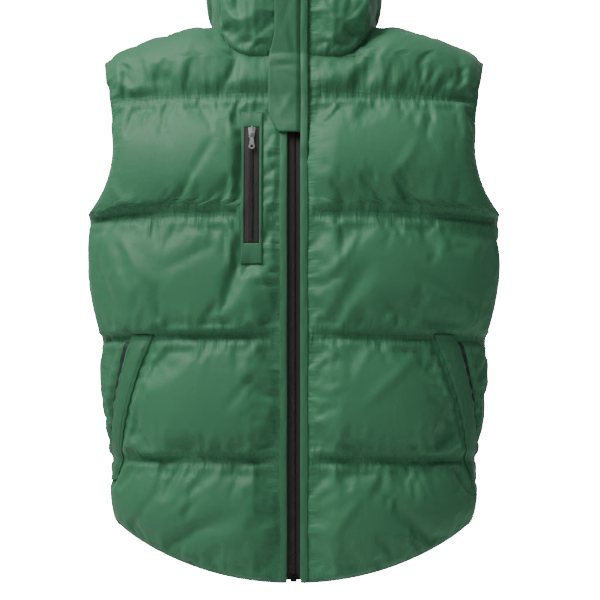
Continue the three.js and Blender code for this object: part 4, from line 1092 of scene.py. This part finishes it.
def make_main_zip():
    """Tapes with a raised rib beside the coil, reaching behind it."""
    height = even(-684.0, COLLAR_TOP - 4, 3.0)[:, None]
    depth = 1.6 * under_flap(height)
    for side, word in SIDES:
        grids = for_side(side, TAPE_X, height, -4.35 - depth, -3.35 - depth + TAPE_RIB)
        obj = centre_strip(f"zip_tape_{word}", *grids, [TAPE_CLOTH] * 2, rim_steps=2)
        declare(obj, "vest", [f"main_zip_tape_{word}"])


def along(points, pitch):
    """Even places on a polyline: index arrays and shares to interpolate with, about a pitch apart."""
    run = np.concatenate([[0], np.cumsum(np.linalg.norm(np.diff(points, axis=0), axis=1))])
    count = max(2, int(run[-1] / pitch))
    at = (np.arange(count) + 0.5) * run[-1] / count
    i = np.clip(np.searchsorted(run, at) - 1, 0, len(points) - 2)
    return i, ((at - run[i]) / np.maximum(1e-9, run[i + 1] - run[i]))[:, None]


def repeated(name, points, normals, pitch, rings, material, stagger=0.0):
    """A small closed form repeated along lines. Each line is points and outward normals. rings lists the
    form's sections (along, half width, low, high) in millimetres. stagger puts every second one aside."""
    all_points, all_faces, total = [], [], 0
    n = len(rings)
    for line, normal in zip(points, normals):
        i, t = along(line, pitch)
        centre = line[i] * (1 - t) + line[i + 1] * t
        out = normal[i] * (1 - t) + normal[i + 1] * t
        out /= np.linalg.norm(out, axis=1, keepdims=True)
        go = line[i + 1] - line[i]
        go -= np.einsum("ij,ij->i", go, out)[:, None] * out
        go /= np.maximum(1e-9, np.linalg.norm(go, axis=1, keepdims=True))
        across = np.cross(out, go)
        sign = np.where(np.arange(len(centre)) % 2, 1.0, -1.0)[:, None] * stagger
        centre = centre + across * sign
        sections = []
        for step, half, low, high in rings:
            for a, b in ((-half, (low + high) / 2), (0, high), (half, (low + high) / 2), (0, low)):
                sections.append(centre + go * step + across * a + out * b)
        block = np.stack(sections, axis=1)
        start = total + np.arange(len(centre))[:, None] * 4 * n
        faces = []
        for ring in range(n - 1):
            for k in range(4):
                a, b = ring * 4 + k, ring * 4 + (k + 1) % 4
                faces.append(np.concatenate([start + a, start + b, start + b + 4, start + a + 4], axis=1))
        last = (n - 1) * 4
        faces.append(np.concatenate([start + k for k in (3, 2, 1, 0)], axis=1))
        faces.append(np.concatenate([start + last + k for k in range(4)], axis=1))
        all_points.append(block.reshape(-1, 3))
        all_faces.append(np.concatenate(faces))
        total += len(centre) * 4 * n
    return mesh_piece(name, np.concatenate(all_points), np.concatenate(all_faces)[:, ::-1], [material])


# A stitch and a tooth of a coil: step along the line, half width, low and high of each section.
STITCH = [(-1.25, 0.10, -0.12, 0.10), (-0.7, 0.30, -0.10, 0.42),
          (0.7, 0.30, -0.10, 0.42), (1.25, 0.10, -0.12, 0.10)]
TOOTH = [(-0.55, 1.15, 0.0, 0.9), (-0.30, 1.75, -0.1, 1.35),
         (0.30, 1.75, -0.1, 1.35), (0.55, 1.15, 0.0, 0.9)]
TOOTH_PITCH = 1.3
TOOTH_STAGGER = 0.75
STITCH_PITCH = 3.3


def make_main_teeth():
    """The closed coil: teeth at an even pitch, every second one from the other tape."""
    height = even(-677.6, COLLAR_TOP - UP_TO_COLLAR, 4.0)
    base, normal = centre_base(0.0, height)
    line = base - normal * (2.6 + 1.2 * under_flap(height))[:, None]
    obj = repeated("zip_coil", [line], [normal], TOOTH_PITCH, TOOTH, TEETH, stagger=TOOTH_STAGGER)
    declare(obj, "vest", ["main_zip_teeth"])


# What lies on a panel follows the panel's finished surface.

def surface_at(panel, x, level):
    """Points of a panel's finished surface at columns x and levels, between its rows and columns."""
    x, level = np.broadcast_arrays(np.asarray(x, float), np.asarray(level, float))
    levels = panel["level"][:, 0 if panel["x"][0, 0] < 0 else -1]
    flat_x, flat_level = x.ravel(), level.ravel()
    row = np.clip(np.searchsorted(levels, flat_level) - 1, 0, len(levels) - 2)
    t = ((flat_level - levels[row]) / (levels[row + 1] - levels[row]))[:, None]
    low, high = np.empty((len(flat_x), 3)), np.empty((len(flat_x), 3))
    for r in np.unique(row):
        here = row == r
        for target, source in ((low, r), (high, r + 1)):
            for k in range(3):
                target[here, k] = np.interp(flat_x[here], panel["x"][source], panel["outer"][source, :, k])
    return (low * (1 - t) + high * t).reshape(x.shape + (3,))


def seated_row(panel, x, level, lift=0.0):
    """Points at a height over a panel's finished surface, and the normals there."""
    normal = body_normal(panel["face"], x, level)
    return surface_at(panel, x, level) + normal * lift, normal


def seated_strip(name, panel, x, z, near, far, materials, rim_steps=3):
    """A closed strip on a front panel's finished surface, between two heights over it."""
    ground, normal = seated_row(panel, x, level_of_height(x, z))
    return wall(name, ground + normal * far[..., None], ground + normal * near[..., None], materials,
                cloth_uv(ground), rim_steps=rim_steps)


def ring_piece(name, panel, corners_out, corners_in, heights, materials):
    """A flat frame round a window: a loop of sections that follow the panel. corners are (x, z) loops of
    equal length and heights lists (share across, height) round each section."""
    t = np.linspace(0, 1, RING_STEPS, endpoint=False)[None, :, None]
    loops = []
    for corners in (corners_out, corners_in):
        start = np.array(corners, float)
        end = np.roll(start, -1, axis=0)
        loops.append((start[:, None] * (1 - t) + end[:, None] * t).reshape(-1, 2))
    rings = []
    for share, height in heights:
        x, z = (loops[0] * (1 - share) + loops[1] * share).T
        rings.append(seated_row(panel, x, level_of_height(x, z), height)[0])
    return mesh_piece(name, np.concatenate(rings), ring_faces(len(rings), len(loops[0])), materials,
                      uv=np.tile(loops[0], (len(rings), 1)))


def chest_box(half_width, low, high):
    """Corners of an upright box round the chest pocket's middle line."""
    left, right = CHEST["x"] - half_width, CHEST["x"] + half_width
    return [(left, low), (right, low), (right, high), (left, high)]


# Sections of the chest pocket's frame: share from its outer to its inner edge, height over the panel.
FRAME_SECTION = [(0.0, 0.4), (0.0, 1.3), (0.06, 1.9), (0.5, 2.2), (0.94, 2.3), (1.0, 1.8), (1.0, 0.4)]
CHEST_TAPE_X = np.array([-8.6, -6.0, -4.4, -3.6, -2.9, 0.0, 2.9, 3.6, 4.4, 6.0, 8.6])
CHEST_TAPE_RIB = np.array([0, 0, 0.1, 0.4, 0.1, 0, 0.1, 0.4, 0.1, 0, 0])


def make_chest_pocket():
    """Closed zip in a stitched frame with an end tab above and below."""
    panel = fronts[-1]
    outside = chest_box(CHEST["half_width"], CHEST["bottom"], CHEST["top"])
    inside = chest_box(CHEST["window"], CHEST["zip_bottom"], CHEST["zip_top"])
    obj = ring_piece("chest_pocket_trim", panel, outside, inside, FRAME_SECTION, [NYLON_DEEP])
    declare(obj, "vest", ["chest_pocket_frame"])
    z = even(CHEST["zip_bottom"] + 0.3, CHEST["zip_top"] - 0.3, 2.5)[:, None]
    x, z, near, far = np.broadcast_arrays(CHEST["x"] + CHEST_TAPE_X, z, 0.45, 1.3 + CHEST_TAPE_RIB)
    obj = seated_strip("chest_tape", panel, x, z, near, far, [TAPE_CLOTH] * 2, rim_steps=2)
    declare(obj, "vest", ["chest_zip_tape"])
    z = even(CHEST["zip_bottom"] + 3, CHEST["zip_top"] - 14, 4)
    line, normal = seated_row(panel, np.full_like(z, CHEST["x"]), level_of_height(CHEST["x"], z), 1.5)
    obj = repeated("chest_coil", [line], [normal], TOOTH_PITCH, TOOTH, TEETH, stagger=TOOTH_STAGGER)
    declare(obj, "vest", ["chest_zip_teeth"])


def welt_x(z, share):
    """x of a hand pocket's welt at a share of its half width: half width sin(angle)^(2/squareness)."""
    angle = np.minimum(welt_angle(z) + WELT["half_angle"] * share, 86)
    return read_table(TRUNK, z, 1) * np.sin(np.radians(angle)) ** (2 / read_table(TRUNK, z, 4))


def make_welts():
    """Hand pocket welts: padded slanted bands, with a flat strip of the dark lining cloth laid along their
    outer edge as painted shade of the pocket's opening.
    """
    z = even(WELT["bottom_z"], WELT["top_z"], 2.6)[:, None]
    share = np.linspace(-1, 1, 15)[None, :]
    full = np.sin(np.pi * (share * 0.49 + 0.5)) ** 0.5
    open_z = z[(z[:, 0] > WELT["bottom_z"] + 6) & (z[:, 0] < WELT["top_z"] - 6)]
    shade_shares = np.linspace(1.02, 1.5, 4)[None, :]
    for side, word in SIDES:
        ripple = 0.25 * np.sin(z / 6.0 + side) * np.cos(z / 15.0)
        far = WELT["lift"] + 0.9 + (WELT["thick"] - 0.7 + ripple) * full
        grids = for_side(side, welt_x(z, share), z, WELT["lift"], far)
        obj = seated_strip(f"hand_welt_{word}", fronts[side], *grids, [NYLON_DEEP] * 2)
        declare(obj, "vest", [f"hand_pocket_welt_{word}"])
        # Painted shade: a thin dark strip lies on the panel just past each welt's outer edge and stands in
        # for the shadow in the pocket's opening.
        grids = for_side(side, welt_x(open_z, shade_shares), open_z, 0.05, 0.45)
        obj = seated_strip(f"pocket_shade_strip_{word}", fronts[side], *grids, [LINING] * 2, rim_steps=1)
        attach(obj, "vest")


def make_facings():
    """The dark bands just inside the armholes: up the front, over the shoulder and down the back."""
    up = np.concatenate([np.linspace(3.02, 3.3, 12), np.linspace(3.36, 4.0, 16), np.linspace(4.08, 4.9, 12)])
    places = [("front", level) for level in up] + [("front", 5.0)] + [("back", level) for level in up[::-1]]
    across = np.linspace(0, 1, 5)
    for side, word in SIDES:
        base, normal = [], []
        for face, level in places:
            x = side * (float(reach(level)) - FACING_SETBACK - FACING_WIDTH * across)
            base.append(body_point(face, x, level))
            normal.append(body_normal(face, x, level) if level < 5 else np.tile([0.0, 0.0, 1.0], (5, 1)))
        base, normal = np.array(base), np.array(normal)
        crown = 0.5 * np.sin(np.pi * across)[None, :, None]
        near = base - normal * (LINING_GAP + 1.4 + crown)
        ring = np.concatenate([base - normal * LINING_GAP, near[:, ::-1]], axis=1)
        quads = ring_faces(*ring.shape[:2])
        run = np.concatenate([[0], np.cumsum(np.linalg.norm(np.diff(base[:, 0], axis=0), axis=1))])
        uv = np.stack(np.broadcast_arrays(np.linspace(0, 16, ring.shape[1]), run[:, None]), axis=-1)
        obj = mesh_piece(f"armhole_band_{word}", ring.reshape(-1, 3), quads if side < 0 else quads[:, ::-1],
                         [FACING], uv=uv.reshape(-1, 2))
        declare(obj, "vest", [f"armhole_facing_{word}"])


def quilt_spans(sides, line, limit):
    """Where a quilt line's stitches run across a panel, from its edge to the side or round the pocket."""
    if len(sides) == 2:
        return [(-limit, limit)]
    start = ZIP_HALF_GAP + 0.5
    if sides[0] > 0:
        return [(start, limit)]
    if line == 3:
        return [(-limit, CHEST["x"] - CHEST_CLEAR), (CHEST["x"] + CHEST_CLEAR, -start)]
    return [(-limit, -start)]


def panel_stitches(panel, sides):
    """Both rows of every quilt line of a panel, then the hem's row and the armholes'."""
    rows = []
    for line in (1, 2, 3, 4):
        for level in (line - BAND, line + BAND):
            for low, high in quilt_spans(sides, line, float(reach(level)) - 0.6):
                x = even(low, high, 1.5)
                rows.append(seated_row(panel, x, np.full_like(x, level)))
    low, high = (-205 if -1 in sides else 12, 205 if 1 in sides else -12)
    x = even(low, high, 1.5)
    rows.append(seated_row(panel, x, np.full_like(x, BAND)))
    level = np.linspace(3.12, 4.93, 160)
    for side in sides:
        rows.append(seated_row(panel, side * (reach(level) - 3.2), level))
    return rows


def trim_stitches():
    """Rows along the edge strips, round the chest pocket's frame and window, and along the welts."""
    rows = []
    height = even(-684.0, COLLAR_TOP - 3, 2.0)
    for side, _ in SIDES:
        lift = 0.45 + PLACKET["thick"] * 0.82 + (raised_over_flap(height) if side > 0 else 0 * height)
        for x in (PLACKET["inner"] + 1.2, PLACKET["outer"] - 1.2):
            base, normal = centre_base(side * x, height)
            rows.append((base + normal * lift[:, None], normal))
    t = np.linspace(0, 1, 40)
    for box in (chest_box(CHEST["half_width"] - 1.2, CHEST["bottom"] + 1.4, CHEST["top"] - 1.4),
                chest_box(CHEST["window"] + 1.0, CHEST["zip_bottom"] - 1.5, CHEST["zip_top"] + 1.5)):
        for (x0, z0), (x1, z1) in zip(box, box[1:] + box[:1]):
            x, z = x0 + (x1 - x0) * t, z0 + (z1 - z0) * t
            rows.append(seated_row(fronts[-1], x, level_of_height(x, z), 2.05))
    z = even(WELT["bottom_z"] + 3, WELT["top_z"] - 3, 2.0)
    for side, _ in SIDES:
        for share in (-0.72, 0.72):
            x = side * welt_x(z, share)
            rows.append(seated_row(fronts[side], x, level_of_height(x, z), WELT["lift"] + 2.35))
    return rows


def make_stitches():
    """Rows of thread, one piece each for the fronts, the back and the trim."""
    lines = {"front": panel_stitches(fronts[-1], (-1,)) + panel_stitches(fronts[1], (1,)),
             "back": panel_stitches(back, (-1, 1)), "trim": trim_stitches()}
    for word, rows in lines.items():
        obj = repeated(f"stitching_{word}", *zip(*rows), STITCH_PITCH, STITCH, THREAD)
        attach(obj, "vest")


make_plackets()
make_flap()
make_main_zip()
make_main_teeth()
make_chest_pocket()
make_welts()
make_facings()
make_stitches()


# Metal parts keep the solids' forms, with their edges rounded.

METAL = {"main_zip_bottom_stop": BLACK, "main_zip_slider": BRIGHT, "main_zip_pull": BRIGHT,
         "chest_zip_slider": BRIGHT, "chest_zip_pull": BRIGHT}
for node, material in METAL.items():
    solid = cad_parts[node]
    for slot in solid.material_slots:
        slot.material = material
    weld = solid.modifiers.new("weld", "WELD")
    weld.merge_threshold = 0.00002
    bevel = solid.modifiers.new("edges", "BEVEL")
    bevel.width = 0.00025
    bevel.segments = 2
    bevel.limit_method = "ANGLE"


# Stage: a pale seamless sweep, soft light from the upper left, and the camera of the photograph.

SWEEP_FLOOR = -1500.0
SWEEP_FLOOR_END = 1500.0
SWEEP_BEND = 1500.0


def make_sweep():
    """A white floor that curves up into a white wall behind the garment."""
    turn = np.linspace(0, math.pi / 2, 16)[1:]
    curve = np.stack([SWEEP_FLOOR_END + SWEEP_BEND * np.sin(turn),
                      SWEEP_FLOOR + SWEEP_BEND * (1 - np.cos(turn))], axis=1)
    profile = np.concatenate([[(-6000.0, SWEEP_FLOOR), (SWEEP_FLOOR_END, SWEEP_FLOOR)], curve,
                              [(SWEEP_FLOOR_END + SWEEP_BEND, 6000.0)]])
    x = np.array([[-7000.0, 7000.0]])
    points = np.stack(np.broadcast_arrays(x, profile[:, :1], profile[:, 1:]), axis=-1)
    material = bpy.data.materials.new("sweep_white")
    material.use_nodes = True
    tree = material.node_tree
    shader = tree.nodes["Principled BSDF"]
    shader.inputs["Base Color"].default_value = (0.9, 0.9, 0.9, 1)
    shader.inputs["Roughness"].default_value = 0.9
    shader.inputs["Emission Color"].default_value = (1, 1, 1, 1)
    seen = tree.nodes.new("ShaderNodeLightPath")
    glow = ranged(tree, seen.outputs["Is Camera Ray"], 0.12, 30.0)
    tree.links.new(glow, shader.inputs["Emission Strength"])
    index = grid_index(len(profile), 2)
    mesh_piece("sweep", points.reshape(-1, 3), grid_faces(index), [material])


def area_light(name, place, target, size, power):
    """A soft square light aimed at a point, all in metres."""
    data = bpy.data.lights.new(name, "AREA")
    data.size = size
    data.energy = power
    obj = bpy.data.objects.new(name, data)
    bpy.context.scene.collection.objects.link(obj)
    obj.location = place
    away = np.array(place) - np.array(target)
    tilt = math.acos(away[2] / np.linalg.norm(away))
    obj.rotation_euler = (tilt, 0, math.atan2(away[1], away[0]) + math.pi / 2)


make_sweep()
area_light("key", (-1.5, -1.3, 1.7), (0, 0, -0.3), 1.2, 92)
area_light("fill", (1.9, -2.2, 0.1), (0, 0, -0.35), 1.8, 6)
area_light("top", (-0.3, -0.6, 2.2), (0, 0, -0.3), 1.2, 22)
world = bpy.data.worlds.new("studio")
world.use_nodes = True
world.node_tree.nodes["Background"].inputs["Color"].default_value = (1, 1, 1, 1)
world.node_tree.nodes["Background"].inputs["Strength"].default_value = 0.13
bpy.context.scene.world = world

camera_data = bpy.data.cameras.new("camera")
camera_data.sensor_width = 36.0
camera_data.lens = 105.6
camera = bpy.data.objects.new("camera", camera_data)
bpy.context.scene.collection.objects.link(camera)
camera.location = (0.0075, -2.2, -0.507)
camera.rotation_euler = (math.radians(90 + 4.22), 0, 0)
bpy.context.scene.camera = camera
